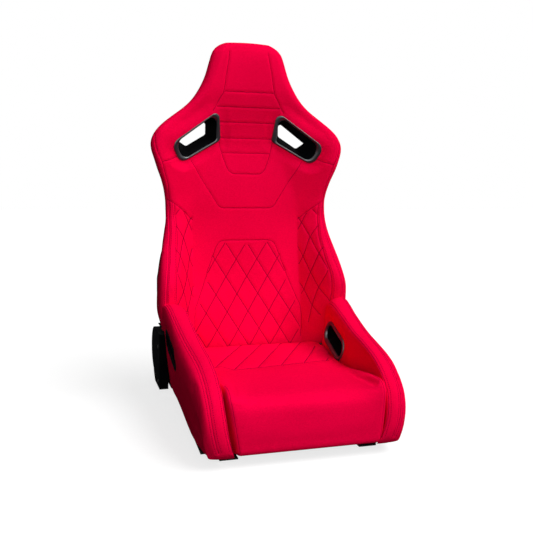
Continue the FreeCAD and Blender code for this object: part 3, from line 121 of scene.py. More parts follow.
def below(place, amount, height, fade):
    """An amount that sets in below a height, in full after the fade."""
    return amount * np.clip((height - place) / fade, 0, 1)


def finer(grid, factor, axis=0):
    """Catmull-Rom samples of a grid along one axis."""
    a = np.moveaxis(np.asarray(grid, float), axis, 0)
    n = len(a)
    t = np.arange((n - 1) * factor + 1) / factor
    i = np.minimum(t.astype(int), n - 2)
    f = (t - i).reshape((-1,) + (1,) * (a.ndim - 1))
    p0, p1, p2 = a[np.maximum(i - 1, 0)], a[i], a[i + 1]
    p3 = a[np.minimum(i + 2, n - 1)]
    out = p1 + 0.5 * f * (p2 - p0 + f * (2 * p0 - 5 * p1 + 4 * p2 - p3
                                         + f * (3 * (p1 - p2) + p3 - p0)))
    return np.moveaxis(out, 0, axis)


def lengths(p):
    """Length of a polyline up to each of its points."""
    return np.concatenate([[0], np.cumsum(np.linalg.norm(np.diff(p, axis=0), axis=1))])


def along(points, step):
    """Points spaced evenly along a polyline."""
    p = np.array(points, float)
    s = lengths(p)
    at = np.linspace(0, s[-1], max(2, int(round(s[-1] / step)) + 1))
    return np.stack([np.interp(at, s, p[:, k]) for k in range(p.shape[1])], 1)


def curved(points, step=3.0):
    """A smooth line through points, evenly spaced."""
    p = np.array(points, float)
    return along(finer(p, 8) if len(p) > 2 else p, step)


def rounded(corners, radii, steps=6):
    """A closed outline with rounded corners, as points in the plane."""
    out = []
    n = len(corners)
    c = [np.array(q, float) for q in corners]
    for i, r in enumerate(radii):
        a, b, d = c[i - 1] - c[i], c[(i + 1) % n] - c[i], c[i]
        a, b = a / np.linalg.norm(a), b / np.linalg.norm(b)
        half = math.acos(float(np.clip(a @ b, -1, 1))) / 2
        middle = d + (a + b) / np.linalg.norm(a + b) * r / math.sin(half)
        p, q = d + a * r / math.tan(half) - middle, d + b * r / math.tan(half) - middle
        turn = math.atan2(p[0] * q[1] - p[1] * q[0], float(p @ q))
        for t in np.linspace(0, turn, steps + 1):
            out.append(middle + np.array([p[0] * math.cos(t) - p[1] * math.sin(t),
                                          p[0] * math.sin(t) + p[1] * math.cos(t)]))
    return np.array(out)


def outline_distance(u, v, outline):
    """Signed distance of points to a closed outline, negative inside."""
    a = outline
    b = np.roll(outline, -1, 0)
    p = np.stack([u, v], -1)[..., None, :]
    ab = b - a
    t = np.clip(((p - a) * ab).sum(-1) / (ab * ab).sum(-1), 0, 1)
    d = np.linalg.norm(p - (a + ab * t[..., None]), axis=-1).min(-1)
    pu, pv = p[..., 0], p[..., 1]
    crosses = (a[:, 1] > pv) != (b[:, 1] > pv)
    with np.errstate(divide="ignore", invalid="ignore"):
        at = a[:, 0] + (pv - a[:, 1]) * (b[:, 0] - a[:, 0]) / (b[:, 1] - a[:, 1])
    inside = (crosses & (pu < at)).sum(-1) % 2 == 1
    return np.where(inside, -d, d)


LINE_STEP, LINE_REACH, FAR = 1.2, 20.0, 99.0


def line_distance(points, lines):
    """Distance from each point to the nearest of the lines, or FAR beyond their reach."""
    samples = np.concatenate([along(line, LINE_STEP) for line in lines])
    tree = KDTree(len(samples))
    for i, q in enumerate(samples):
        tree.insert(q, i)
    tree.balance()
    flat = points.reshape(-1, 3)
    out = np.full(len(flat), FAR)
    low, high = samples.min(0) - LINE_REACH, samples.max(0) + LINE_REACH
    near = np.all((flat > low) & (flat < high), axis=1)
    for i in np.nonzero(near)[0]:
        out[i] = tree.find(flat[i])[2]
    return out.reshape(points.shape[:-1])


# Grids of points, rows by columns

def grid_normals(p):
    """Unit normals at the points of a grid."""
    n = np.cross(np.gradient(p, axis=1), np.gradient(p, axis=0))
    return n / np.maximum(np.linalg.norm(n, axis=-1, keepdims=True), 1e-9)


def outward(p):
    """The same grid with its columns in the order that turns its normals outward."""
    out = (grid_normals(p) * (p - p.reshape(-1, 3).mean(0))).sum()
    return p if out > 0 else p[:, ::-1]


def grid_faces(rows, columns, keep=None):
    """The four corners of each face, or of those that are kept."""
    i, j = np.meshgrid(np.arange(rows - 1), np.arange(columns - 1), indexing="ij")
    quads = np.stack([i * columns + j, i * columns + j + 1,
                      (i + 1) * columns + j + 1, (i + 1) * columns + j], -1)
    return quads.reshape(-1, 4) if keep is None else quads[keep]


def grid_uv(p):
    """Lengths along the cloth, in metres."""
    across = np.linalg.norm(np.diff(p, axis=1), axis=-1)
    down = np.linalg.norm(np.diff(p, axis=0), axis=-1)
    u = np.concatenate([np.zeros((len(p), 1)), np.cumsum(across, 1)], 1)
    v = np.concatenate([[0], np.cumsum(down[:, p.shape[1] // 2])])
    u -= u[:, p.shape[1] // 2][:, None]
    return np.stack([u, np.repeat(v[:, None], p.shape[1], 1)], -1).reshape(-1, 2) * MM


def shifted(p, amount):
    """The grid moved along its outward normals."""
    return p + grid_normals(p) * amount[..., None]


def cell(values):
    """Values of a grid's points averaged over its faces."""
    return (values[:-1, :-1] + values[1:, :-1] + values[:-1, 1:] + values[1:, 1:]) / 4


# Meshes

WELD = 0.01
SEEN_FROM = 900


def new_mesh(name, vertices, faces, looks, uv=None, index=None):
    """A mesh object from millimetre vertices."""
    data = bpy.data.meshes.new(name)
    data.from_pydata((np.asarray(vertices) * MM).tolist(), [], [list(map(int, f)) for f in faces])
    for look in looks:
        data.materials.append(look)
    if index is not None:
        data.polygons.foreach_set("material_index", np.asarray(index, np.int32))
    data.polygons.foreach_set("use_smooth", [True] * len(data.polygons))
    if uv is not None:
        layer = data.uv_layers.new(name="weave")
        loops = np.zeros(len(data.loops), np.int32)
        data.loops.foreach_get("vertex_index", loops)
        layer.data.foreach_set("uv", np.asarray(uv, np.float32)[loops].ravel())
    data.update()
    obj = bpy.data.objects.new(name, data)
    scene.collection.objects.link(obj)
    return obj


def changed(obj, change):
    """Runs a change on an object's mesh."""
    bm = bmesh.new()
    bm.from_mesh(obj.data)
    change(bm)
    bm.to_mesh(obj.data)
    bm.free()


def weld(bm):
    bmesh.ops.delete(bm, geom=[v for v in bm.verts if not v.link_faces], context="VERTS")
    bmesh.ops.remove_doubles(bm, verts=bm.verts, dist=WELD * MM)


def close_ends(bm):
    bmesh.ops.holes_fill(bm, edges=[e for e in bm.edges if e.is_boundary])


def turn_outward(bm):
    bmesh.ops.recalc_face_normals(bm, faces=bm.faces)


def grid_object(name, p, looks, keep=None, index=None):
    """A grid as a mesh, welded where its edges meet."""
    faces = grid_faces(*p.shape[:2], keep)
    if index is not None:
        index = index.reshape(-1) if keep is None else index[keep]
    obj = new_mesh(name, p.reshape(-1, 3), faces, looks, grid_uv(p), index)
    changed(obj, weld)
    return obj


def tube(points, radius, sides=6):
    """Vertices and faces of a round thread along points."""
    p = np.array(points, float)
    n = len(p)
    t = np.gradient(p, axis=0)
    t /= np.maximum(np.linalg.norm(t, axis=1, keepdims=True), 1e-9)
    side = np.cross(t, [0.0, -1.0, 0.0])
    weak = np.linalg.norm(side, axis=1) < 0.2
    side[weak] = np.cross(t[weak], [0.0, 0.0, 1.0])
    side /= np.linalg.norm(side, axis=1, keepdims=True)
    up = np.cross(side, t)
    a = np.arange(sides) * 2 * np.pi / sides
    r = np.broadcast_to(np.asarray(radius, float), (n,))[:, None, None]
    ring = side[:, None] * np.cos(a)[None, :, None] + up[:, None] * np.sin(a)[None, :, None]
    faces = []
    for i in range(n - 1):
        for j in range(sides):
            k = (j + 1) % sides
            faces.append((i * sides + j, i * sides + k, (i + 1) * sides + k, (i + 1) * sides + j))
    faces.append(tuple(range(sides))[::-1])
    faces.append(tuple((n - 1) * sides + j for j in range(sides)))
    return (p[:, None] + ring * r).reshape(-1, 3), faces


def joined(name, parts, looks):
    """One object from several (vertices, faces) parts."""
    vertices, faces, count = [], [], 0
    for v, f in parts:
        vertices.append(v)
        faces += [tuple(i + count for i in face) for face in f]
        count += len(v)
    return new_mesh(name, np.concatenate(vertices), faces, looks)


class Surface:
    """Places on a mesh or grid, in millimetres."""

    def __init__(self, source):
        if isinstance(source, np.ndarray):
            points = source.reshape(-1, 3)
            faces = grid_faces(*source.shape[:2]).tolist()
        else:
            points = np.zeros(len(source.data.vertices) * 3, np.float32)
            source.data.vertices.foreach_get("co", points)
            points = points.reshape(-1, 3) / MM
            faces = [tuple(f.vertices) for f in source.data.polygons]
        self.tree = BVHTree.FromPolygons(points.tolist(), faces)

    def lift(self, points, height=0.0):
        """The nearest places, raised along the normals."""
        out = []
        for q in points:
            place, normal, _, _ = self.tree.find_nearest(Vector(q))
            out.append(np.array(place) + np.array(normal) * height)
        return np.array(out)

    def seen(self, points, direction):
        """The first places met from far off along a direction."""
        way = Vector(direction)
        out = []
        for q in points:
            place = self.tree.ray_cast(Vector(q) - way * SEEN_FROM, way)[0]
            if place is None:
                place = self.tree.find_nearest(Vector(q))[0]
            out.append(place)
        return np.array(out)


def soft_cover(obj, body, *pads):
    """Hides the foam pads that a red cover takes the place of, and attaches the cover to a body.
    """
    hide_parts(*pads)
    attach(obj, body)
    return obj


# Cloth

PRESSURE = 4.0
CLOTH_STEPS = 20
CLOTH_QUALITY = 4
STRETCH_STIFF, BEND_STIFF = 25, 2
# how near to a seam the cloth is held, and how far it may rise elsewhere
PIN_REACH = 3.4
RING_PIN, BELT_PIN, LOW_PIN = 10, 8, 60
PUFF, CUSHION_PUFF = 3.5, 4.5


def puffed(name, p, pins, cap):
    """Blows a cover's grid out between its pinned places with a short cloth simulation."""
    obj = new_mesh("cloth_" + name, p.reshape(-1, 3), grid_faces(*p.shape[:2]), [])
    group = obj.vertex_groups.new(name="pins")
    group.add(np.nonzero(pins.reshape(-1))[0].tolist(), 1.0, "REPLACE")
    cloth = obj.modifiers.new("cloth", "CLOTH")
    cloth.settings.quality = CLOTH_QUALITY
    cloth.settings.vertex_group_mass = "pins"
    cloth.settings.use_pressure = True
    cloth.settings.uniform_pressure_force = PRESSURE
    cloth.settings.tension_stiffness = STRETCH_STIFF
    cloth.settings.compression_stiffness = STRETCH_STIFF
    cloth.settings.bending_stiffness = BEND_STIFF
    cloth.settings.effector_weights.gravity = 0
    cloth.point_cache.frame_end = CLOTH_STEPS
    for step in range(1, CLOTH_STEPS + 1):
        scene.frame_set(step)
    result = obj.evaluated_get(bpy.context.evaluated_depsgraph_get())
    places = np.zeros(len(result.data.vertices) * 3, np.float32)
    result.data.vertices.foreach_get("co", places)
    bpy.data.objects.remove(obj)
    scene.frame_set(1)
    move = places.reshape(p.shape) / MM - p
    size = np.maximum(np.linalg.norm(move, axis=-1, keepdims=True), 1e-6)
    return p + move * cap * np.tanh(size / cap) / size


def groove(p, lines, shape):
    """Depths of the valleys along lines; shape is (depth, width, sharpness)."""
    deep, wide, sharp = shape
    return deep * np.exp(-(line_distance(p, lines) / wide) ** sharp)


def sewn(name, p, pins, cap, *valleys):
    """A cover's finished grid, puffed and then drawn in along the (lines, shape) of its seams."""
    p = finer(finer(puffed(name, p, pins, cap), 2, 0), 2, 1)
    return shifted(p, -sum(groove(p, *valley) for valley in valleys))


# Materials

def node(owner, kind):
    """A new shader node of a material or world."""
    return owner.node_tree.nodes.new("ShaderNode" + kind)


def link(owner, *pairs):
    for a, b in pairs:
        owner.node_tree.links.new(a, b)


def material(name):
    """A new material with one principled shader."""
    m = bpy.data.materials.new(name)
    m.use_nodes = True
    m.node_tree.nodes.clear()
    out = node(m, "OutputMaterial")
    shader = node(m, "BsdfPrincipled")
    link(m, (shader.outputs[0], out.inputs[0]))
    return m, shader


def place_of(m):
    return node(m, "TexCoord").outputs["Object"]


def sums(m, operation, a, b=None):
    """A math node on values or outputs."""
    n = node(m, "Math")
    n.operation = operation
    for i, value in enumerate((a, b)):
        if isinstance(value, (int, float)):
            n.inputs[i].default_value = value
        elif value is not None:
            link(m, (value, n.inputs[i]))
    return n.outputs[0]


def noise(m, place, scale, detail=2.0, rough=0.5):
    n = node(m, "TexNoise")
    link(m, (place, n.inputs["Vector"]))
    n.inputs["Scale"].default_value = scale
    n.inputs["Detail"].default_value = detail
    n.inputs["Roughness"].default_value = rough
    return n.outputs[0]


def shades(m, value, low, dark, high, light, shader):
    """Colours the shader from dark at low to light at high."""
    n = node(m, "ValToRGB")
    link(m, (value, n.inputs[0]), (n.outputs[0], shader.inputs["Base Color"]))
    for item, place, colour in zip(n.color_ramp.elements, (low, high), (dark, light)):
        item.position = place
        item.color = (*colour, 1)


def bumped(m, height, strength, deep, shader):
    """Relief too fine for the mesh."""
    n = node(m, "Bump")
    n.inputs["Strength"].default_value = strength
    n.inputs["Distance"].default_value = deep
    link(m, (height, n.inputs["Height"]), (n.outputs[0], shader.inputs["Normal"]))


# the weave, in metres
YARN_PITCH, YARN_WANDER = 0.0012, 0.0009


def fabric(name, dark, light):
    """A fine woven cloth: two crossing yarns, slubs and a slow change of shade."""
    m, shader = material(name)
    place = place_of(m)
    uv = node(m, "UVMap")
    uv.uv_map = "weave"
    part = node(m, "SeparateXYZ")
    link(m, (uv.outputs[0], part.inputs[0]))
    wobble = sums(m, "MULTIPLY", noise(m, place, 90), YARN_WANDER)
    turns = 2 * math.pi / YARN_PITCH
    yarns = [sums(m, "SINE", sums(m, "MULTIPLY", sums(m, "ADD", part.outputs[i], wobble), turns))
             for i in (0, 1)]
    weave = sums(m, "MULTIPLY", *yarns)
    grain = noise(m, place, 640, 3, 0.65)
    slub = noise(m, place, 230, 3, 0.6)
    slow = noise(m, place, 9)
    tone = sums(m, "ADD", sums(m, "MULTIPLY", grain, 0.7), sums(m, "MULTIPLY", slub, 0.3))
    tone = sums(m, "ADD", tone, sums(m, "MULTIPLY", sums(m, "SUBTRACT", slow, 0.5), 0.12))
    shades(m, tone, 0.36, dark, 0.62, light, shader)
    height = sums(m, "ADD", sums(m, "MULTIPLY", weave, 0.35), sums(m, "MULTIPLY", tone, 1.6))
    bumped(m, height, 0.4, 0.0006, shader)
    shader.inputs["Roughness"].default_value = 0.9
    shader.inputs["Specular IOR Level"].default_value = 0.01
    return m


def hard(name, dark, light, rough, specular, metallic=0.0, bump=0.15):
    """Moulded plastic, paint or metal: a mottled shade, uneven gloss and a fine grain."""
    m, shader = material(name)
    place = place_of(m)
    shades(m, noise(m, place, 30, 3), 0.3, dark, 0.7, light, shader)
    uneven = sums(m, "ADD", sums(m, "MULTIPLY", noise(m, place, 90, 4), 0.12), rough - 0.06)
    link(m, (uneven, shader.inputs["Roughness"]))
    bumped(m, noise(m, place, 700), bump, 0.0003, shader)
    shader.inputs["Specular IOR Level"].default_value = specular
    shader.inputs["Metallic"].default_value = metallic
    return m


RED = fabric("red_weave", (0.80, 0.0, 0.040), (0.96, 0.0, 0.058))
SEAM = fabric("seam_thread", (0.17, 0.0, 0.014), (0.30, 0.0, 0.03))
QUILT = fabric("quilting_thread", (0.10, 0.0, 0.012), (0.20, 0.0, 0.025))
STITCH = fabric("stitch_thread", (0.05, 0.0, 0.012), (0.12, 0.0, 0.03))
BLACK_CLOTH = fabric("black_cloth", (0.006, 0.006, 0.007), (0.018, 0.018, 0.02))
GLOSS = hard("gloss_black", (0.010, 0.013, 0.017), (0.022, 0.027, 0.033), 0.3, 1.0, bump=0.03)
MATT = hard("matt_black", (0.0012, 0.0012, 0.0016), (0.003, 0.003, 0.004), 0.75, 0.01, bump=0.4)
PAINT = hard("frame_paint", (0.006, 0.006, 0.006), (0.014, 0.014, 0.014), 0.5, 0.2)
STEEL = hard("zinc_steel", (0.42, 0.42, 0.44), (0.62, 0.62, 0.64), 0.38, 0.5, 1.0)
BRASS = hard("bush_brass", (0.5, 0.38, 0.18), (0.66, 0.5, 0.27), 0.35, 0.5, 1.0)


# Backrest

REAR = 305.2
SHELL_REAR = 348.0
# half width by height
WIDTH = [(204, 252), (214, 260), (226, 264), (250, 268), (293, 271), (322, 271), (344, 268),
         (367, 265), (390, 261), (411, 256), (435, 251), (458, 245), (482, 240), (511, 237),
         (546, 237), (575, 240), (612, 249), (645, 262), (677, 272), (694, 278), (710, 280),
         (726, 277), (742, 269), (760, 254), (778, 233), (795, 210), (812, 187), (830, 167),
         (845, 155), (862, 144), (880, 134), (895, 127), (910, 121), (925, 117), (945, 111),
         (962, 106), (975, 100), (983, 93), (989, 84), (993, 74), (995.5, 62), (998, 44)]
# lines of the section: height, distance from the middle, depth
CENTRE = [(116, 0, 250), (128, 0, 232), (150, 0, 230), (204, 0, 242), (270, 0, 256),
          (340, 0, 268), (440, 0, 276), (530, 0, 281), (640, 0, 288), (710, 0, 295),
          (790, 0, 283), (835, 0, 273), (880, 0, 269), (950, 0, 271), (975, 0, 277),
          (988, 0, 284), (996, 0, 292)]
GROOVE = [(142, 158, 232), (204, 158, 234), (249, 158, 240), (339, 158, 264), (448, 158, 284),
          (500, 158, 288), (557, 150, 285), (600, 135, 287), (640, 118, 290), (690, 100, 295),
          (740, 92, 291), (790, 87, 279), (835, 78, 270), (862, 72, 266), (925, 60, 268),
          (972, 56, 276), (996, 48, 292)]
CREST_IN = [(142, 222, 170), (204, 222, 160), (293, 222, 157), (322, 222, 155), (346, 221, 160),
            (367, 219, 173), (388, 216, 189), (414, 213, 207), (431, 211, 222), (458, 209, 235),
            (485, 209, 246), (515, 210, 257), (557, 215, 258), (600, 222, 252), (640, 232, 245),
            (664, 240, 240), (705, 246, 240), (742, 236, 244), (778, 205, 256), (812, 163, 263),
            (835, 140, 262), (862, 120, 262), (925, 92, 269), (972, 78, 277), (996, 58, 293)]
CREST_OUT = [(142, 244, 165), (204, 248, 152), (293, 248, 145), (325, 248, 144), (346, 245, 150),
             (367, 240, 163), (388, 236, 181), (414, 232, 200), (431, 229, 216), (458, 225, 230),
             (485, 224, 243), (515, 224, 256), (557, 226, 260), (600, 236, 249), (640, 248, 240),
             (664, 258, 236), (705, 266, 239), (742, 256, 244), (778, 222, 257), (812, 177, 265),
             (835, 153, 266), (862, 133, 268), (925, 107, 276), (972, 90, 283), (996, 64, 296)]
EDGE_Y = [(142, 196), (204, 182), (293, 170), (322, 173), (344, 182), (367, 195), (390, 207),
          (411, 219), (435, 235), (458, 248), (482, 258), (507, 266), (530, 273), (557, 276),
          (600, 270), (640, 260), (664, 257), (705, 260), (742, 265), (778, 277), (812, 285),
          (835, 287), (862, 290), (925, 297), (972, 299), (996, 303)]
# lowest point of the cover by distance from the middle
FOOT = [(0, 118), (148, 118), (160, 140), (205, 146), (222, 152), (232, 190), (245, 206),
        (400, 206)]
COUNTS = [16, 16, 22, 6, 7, 4, 18, 5, 4, 3]
FRONT_COUNT = sum(COUNTS[:5])
GROOVE_COLUMN = sum(COUNTS[:2])

# shoulder harness opening, as the solids have it
HARNESS = [(85.0, 810.0), (76.0, 726.0), (194.3, 658.8), (223.0, 711.7)]
HARNESS_RADII = [14, 14, 20, 26]
CORNER_GROWTH = 1.3
# plane of its ring: depth at a place (x, z), and the fall of the depth along x and z
RING_DEPTH, RING_AT, RING_FALL = 277, (84, 795), (0.361, 0.259)
# the smaller window at the tunnel's rear end
WINDOW = [(109.0, 785.0), (109.0, 742.0), (168.0, 706.0), (200.0, 728.0)]
WINDOW_RADII = [8, 8, 9, 9]
# the cover is drawn to that plane between these distances from the opening, above a height
RING_BLEND, RING_BED, RING_LOW = (-6, 34), 0.5, 600
# the edge round to the rear: distance inside the half width and depth
ROUND_REAR = [(7, REAR), (10, 326), (13, 341), (22, SHELL_REAR - 1)]
# smoothing passes along the section and over the height
SECTION_PASSES, HEIGHT_PASSES = 14, 6
# amount, height and fade: the hips drawn in at the rear, let out again lower down, and the
# groove beside the back panel kept crisp
HIP_TUCK, HIP_RELEASE, GROOVE_CRISP = (9, 470, 80), (6, 300, 60), (1, 515, 40)
GROOVE_COLUMNS, GROOVE_HOLD = 2.2, 0.93
# the rows below this height are stretched to the foot, by the widths of this row
FOOT_TOP, FOOT_ROW = 300, 18
BACK_LEVELS = np.concatenate([np.arange(116, 972, 5.0),
                              [975, 979, 983, 986, 989, 991.5, 993.5, 995]])
# rise of the head's middle, the half width over which it fades and the heights where it sets in
CROWN, CROWN_HALF, CROWN_LEVELS = 4.5, 92, (940, 995)
# rows at the top and bottom that the cloth simulation holds
HELD_ROWS = 8
# how far the cover and the rear cloth reach into an opening
COVER_HEM, CLOTH_HEM = -4.5, -8
# the black lower corners: half width, height at a depth, and rise with the depth
CORNER_HALF, CORNER_HIGH, CORNER_AT, CORNER_RISE = 235, 198, 215, 0.29
# the rear cloth: lowest and highest row, inset, columns, width and depth of its rounded edge
CLOTH_LOW, CLOTH_HIGH, CLOTH_INSET = 150, 992, 20
CLOTH_COLUMNS, CLOTH_ROUND, CLOTH_DEEP = 121, 12, 3
# half width of its foot and the height up to which that holds
CLOTH_FOOT, CLOTH_FOOT_TOP = 226, 206
BACK_SEAM, BACK_QUILT = (1.9, 2.6, 1.6), (2.2, 3.6, 1.4)


def harness_outline(grow=0.0):
    """The opening's outline, (x, z), with its corners moved out."""
    c = np.array(HARNESS)
    away = c - c.mean(0)
    c = c + away / np.linalg.norm(away, axis=1, keepdims=True) * grow * CORNER_GROWTH
    return rounded(c, HARNESS_RADII)


def opening_distance(p, grow=0.0):
    """Signed distance of a grid's points to the nearer opening, seen from the front."""
    outline = harness_outline(grow)
    return np.minimum(outline_distance(p[..., 0], p[..., 2], outline),
                      outline_distance(-p[..., 0], p[..., 2], outline))


def ring_plane(x, z):
    return RING_DEPTH - RING_FALL[0] * (np.abs(x) - RING_AT[0]) - RING_FALL[1] * (z - RING_AT[1])


def back_section(z):
    """Half sections of the backrest cover, rows by height, from the middle round to the rear."""
    w = table(WIDTH, z)
    centre_x, centre_y = table(CENTRE, z)
    groove_x, groove_y = table(GROOVE, z)
    in_x, in_y = table(CREST_IN, z)
    out_x, out_y = table(CREST_OUT, z)
    edge = table(EDGE_Y, z)
    w = np.maximum(w, out_x + 2)
    flat = np.ones_like(w)
    tuck = below(z, *HIP_TUCK) - below(z, *HIP_RELEASE)
    points = [(centre_x, centre_y),
              (groove_x * 0.5, centre_y + (groove_y - centre_y) * 0.35),
              (groove_x, groove_y),
              (in_x, in_y),
              (out_x, out_y),
              (w - 3, out_y + (edge - out_y) * 0.4),
              (w, edge)]
    points += [(w - inset - tuck, depth * flat) for inset, depth in ROUND_REAR]
    x, y = [], []
    for a, b, n in zip(points, points[1:], COUNTS):
        for t in np.arange(n) / n:
            x.append(a[0] + (b[0] - a[0]) * t)
            y.append(a[1] + (b[1] - a[1]) * t)
    x = np.array(x + [points[-1][0]]).T
    y = np.array(y + [points[-1][1]]).T
    k = np.arange(x.shape[1])
    near = np.exp(-((k - GROOVE_COLUMN) / GROOVE_COLUMNS) ** 2)
    weight = 1 - GROOVE_HOLD * (near[None] * below(z, *GROOVE_CRISP)[:, None])
    weight[:, -1] = 0
    for _ in range(SECTION_PASSES):
        for a, mirrored in ((x, -1), (y, 1)):
            left = np.concatenate([mirrored * a[:, 1:2], a[:, :-1]], 1)
            right = np.concatenate([a[:, 1:], a[:, -1:]], 1)
            a += weight * 0.5 * ((left + right) / 2 - a)
    for _ in range(HEIGHT_PASSES):
        for a in (x, y):
            a[1:-1] += 0.5 * ((a[:-2] + a[2:]) / 2 - a[1:-1])
    return x, y


def lowered(x, y, level):
    """Stretches the lowest rows down or up to the cover's foot."""
    foot = table(FOOT, x[FOOT_ROW])
    z = np.repeat(level[:, None], x.shape[1], 1)
    share = (FOOT_TOP - foot) / (FOOT_TOP - level[0])
    target = np.where(z < FOOT_TOP, foot + (z - level[0]) * share, z)
    for c in range(x.shape[1]):
        x[:, c] = np.interp(target[:, c], level, x[:, c])
        y[:, c] = np.interp(target[:, c], level, y[:, c])
    return np.stack([x, y, target], -1)


def back_grid():
    """The whole cover at about 5 mm, rows from the foot to the top, columns from side to side."""
    p = lowered(*back_section(BACK_LEVELS), BACK_LEVELS)
    d = outline_distance(p[..., 0], p[..., 2], harness_outline())
    front = (np.arange(p.shape[1]) < FRONT_COUNT) & (p[..., 2] > RING_LOW)
    pull = (1 - smoothstep(*RING_BLEND, d)) * front
    p[..., 1] += pull * (ring_plane(p[..., 0], p[..., 2]) + RING_BED - p[..., 1])
    crown = np.cos(np.clip(p[..., 0] / CROWN_HALF, -1, 1) * math.pi / 2)
    p[..., 2] += CROWN * crown * smoothstep(*CROWN_LEVELS, p[..., 2])
    first, last = p[0], p[-1]
    under = []
    for t in (1.0, 0.75, 0.5, 0.25, 0.1):
        q = first.copy()
        q[:, 1] += (np.maximum(first[:, 1], 300.0) - first[:, 1]) * t
        q[:, 0] -= 6 * min(1, t * 2) * (first[:, 1] > 299)
        q[:, 2] -= 3 * math.sqrt(min(1, t * 4))
        under.append(q)
    over = []
    for t in (0.06, 0.2, 0.4, 0.6, 0.8, 1.0):
        q = last.copy()
        q[:, 1] += (SHELL_REAR - 2 - last[:, 1]) * t
        q[:, 0] *= 1 - 0.12 * t
        q[:, 2] += 1.5 * (1 - (1 - min(1, t * 2.5)) ** 2)
        over.append(q)
    p = np.concatenate([np.array(under), p, np.array(over)])
    return outward(np.concatenate([p[:, :0:-1] * np.array([-1, 1, 1]), p], 1))


coarse_back = back_grid()
back_face = Surface(coarse_back)


def on_back(points, side=1):
    """A line drawn on the backrest's front, given as (x, z) points."""
    q = curved([(side * x, z) for x, z in points])
    return back_face.seen([(x, 0, z) for x, z in q], (0, 1, 0))


def round_back(points, side=1):
    """A line round the backrest's edge, given as (distance from the middle, depth, height)."""
    return back_face.lift(curved([(side * x, y, z) for x, y, z in points]))


# sewn lines of the backrest's front, (x, z), drawn on both halves
SEWN = [
    [(56, 973), (60, 945), (65, 918), (73.5, 862), (84.5, 841), (95, 820), (103, 806)],
    [(79, 721), (75, 703), (71, 688), (63, 664), (55, 645), (43, 634), (30, 632), (0, 632)],
    [(206, 677), (228, 668), (250, 662)],
    [(163, 667), (146, 640), (122, 602), (101, 569), (91, 554), (84, 542), (75, 536),
     (60, 534), (0, 534)],
    [(234, 560), (213, 548), (195, 535), (178, 520), (157, 500)],
    [(213, 547), (210, 515), (208, 485), (208, 458), (210, 431), (213, 414), (216, 384),
     (220, 362), (222, 335), (222, 298), (220, 277), (220, 200)],
    [(229, 556), (228, 516), (230, 463), (235, 432), (240, 392), (246, 363), (251, 320),
     (251, 285), (251, 215)],
]
# rows of stitches beside them
STITCHED = [
    [(219, 549), (216, 515), (214, 485), (214, 458), (216, 431), (219, 414), (222, 384),
     (226, 362), (228, 335), (228, 298), (227, 277), (227, 210)],
    [(225, 553), (223, 516), (225, 463), (230, 432), (236, 392), (242, 363), (247, 318),
     (246, 283), (246, 215)],
    [(233, 556), (233, 510), (236, 463), (240, 430), (245, 392), (251, 363), (256, 322),
     (256, 290), (256, 218)],
]
# level channels: height and half length
LEVEL = [(861, 74), (819, 92), (777, 80), (733, 79), (691, 71)]
# quilting of the left bolster's inner face
FACE = [
    [(197, 531), (209, 518)],
    [(181, 521), (168, 492), (159, 471)],
    [(159, 506), (168, 492), (187, 451), (202, 406), (217, 367)],
    [(208, 485), (187, 451), (168, 393), (158, 369)],
    [(158, 419), (168, 393), (181, 350), (196, 310), (219, 275)],
    [(214, 424), (202, 406), (181, 350), (166, 298), (160, 284)],
    [(158, 315), (166, 298), (182, 255), (200, 230)],
    [(216, 362), (196, 310), (182, 255), (174, 205)],
]
# seam of the side panel, round the edge
SIDE = [
    [(268, 253, 735), (268, 246, 718), (266, 241, 701), (258, 239, 680), (249, 239, 660),
     (240, 244, 629), (231, 253, 595), (229, 261, 556)],
]
PANEL = [(157, 160), (157, 243), (146, 275), (121, 339), (98, 402), (90, 422), (82, 434),
         (65, 441), (0, 441)]
# diamonds of the panel: width, height and height of a crossing; the heights they fill
DIAMOND = (62.3, 99.3, 436)
LATTICE_LOW, LATTICE_HIGH, LATTICE_COUNT = 120, 440, 9
# points of a quilting line that are kept and the fewest that make one
LATTICE_EVERY, LATTICE_FEWEST = 6, 14


def lattice():
    """The diamond quilting of the back panel, cut to its outline."""
    side = np.array(PANEL[:-1])
    wide, tall, start = DIAMOND
    z = np.arange(LATTICE_LOW, LATTICE_HIGH, 2.0)
    half = np.interp(z, side[:, 1], side[:, 0]) - 0.5
    lines = []
    for k in range(-LATTICE_COUNT, LATTICE_COUNT + 1):
        for slant in (-1, 1):
            x = wide * k + slant * (z - start) * wide / tall
            inside = np.nonzero(np.abs(x) < half)[0]
            runs = np.split(inside, np.nonzero(np.diff(inside) > 1)[0] + 1)
            lines += [on_back(np.stack([x[r], z[r]], 1)[::LATTICE_EVERY])
                      for r in runs if len(r) >= LATTICE_FEWEST]
    return lines


back_seams, back_quilt, back_stitches = [], [], []
for side in (1, -1):
    back_seams += [on_back(line, side) for line in SEWN]
    back_seams += [round_back(line, side) for line in SIDE]
    back_seams.append(on_back(PANEL, side))
    back_quilt += [on_back(line, side) for line in FACE]
    back_stitches += [on_back(line, side) for line in STITCHED]
back_seams += [on_back([(-half, z), (0, z), (half, z)]) for z, half in LEVEL]
back_quilt += lattice()


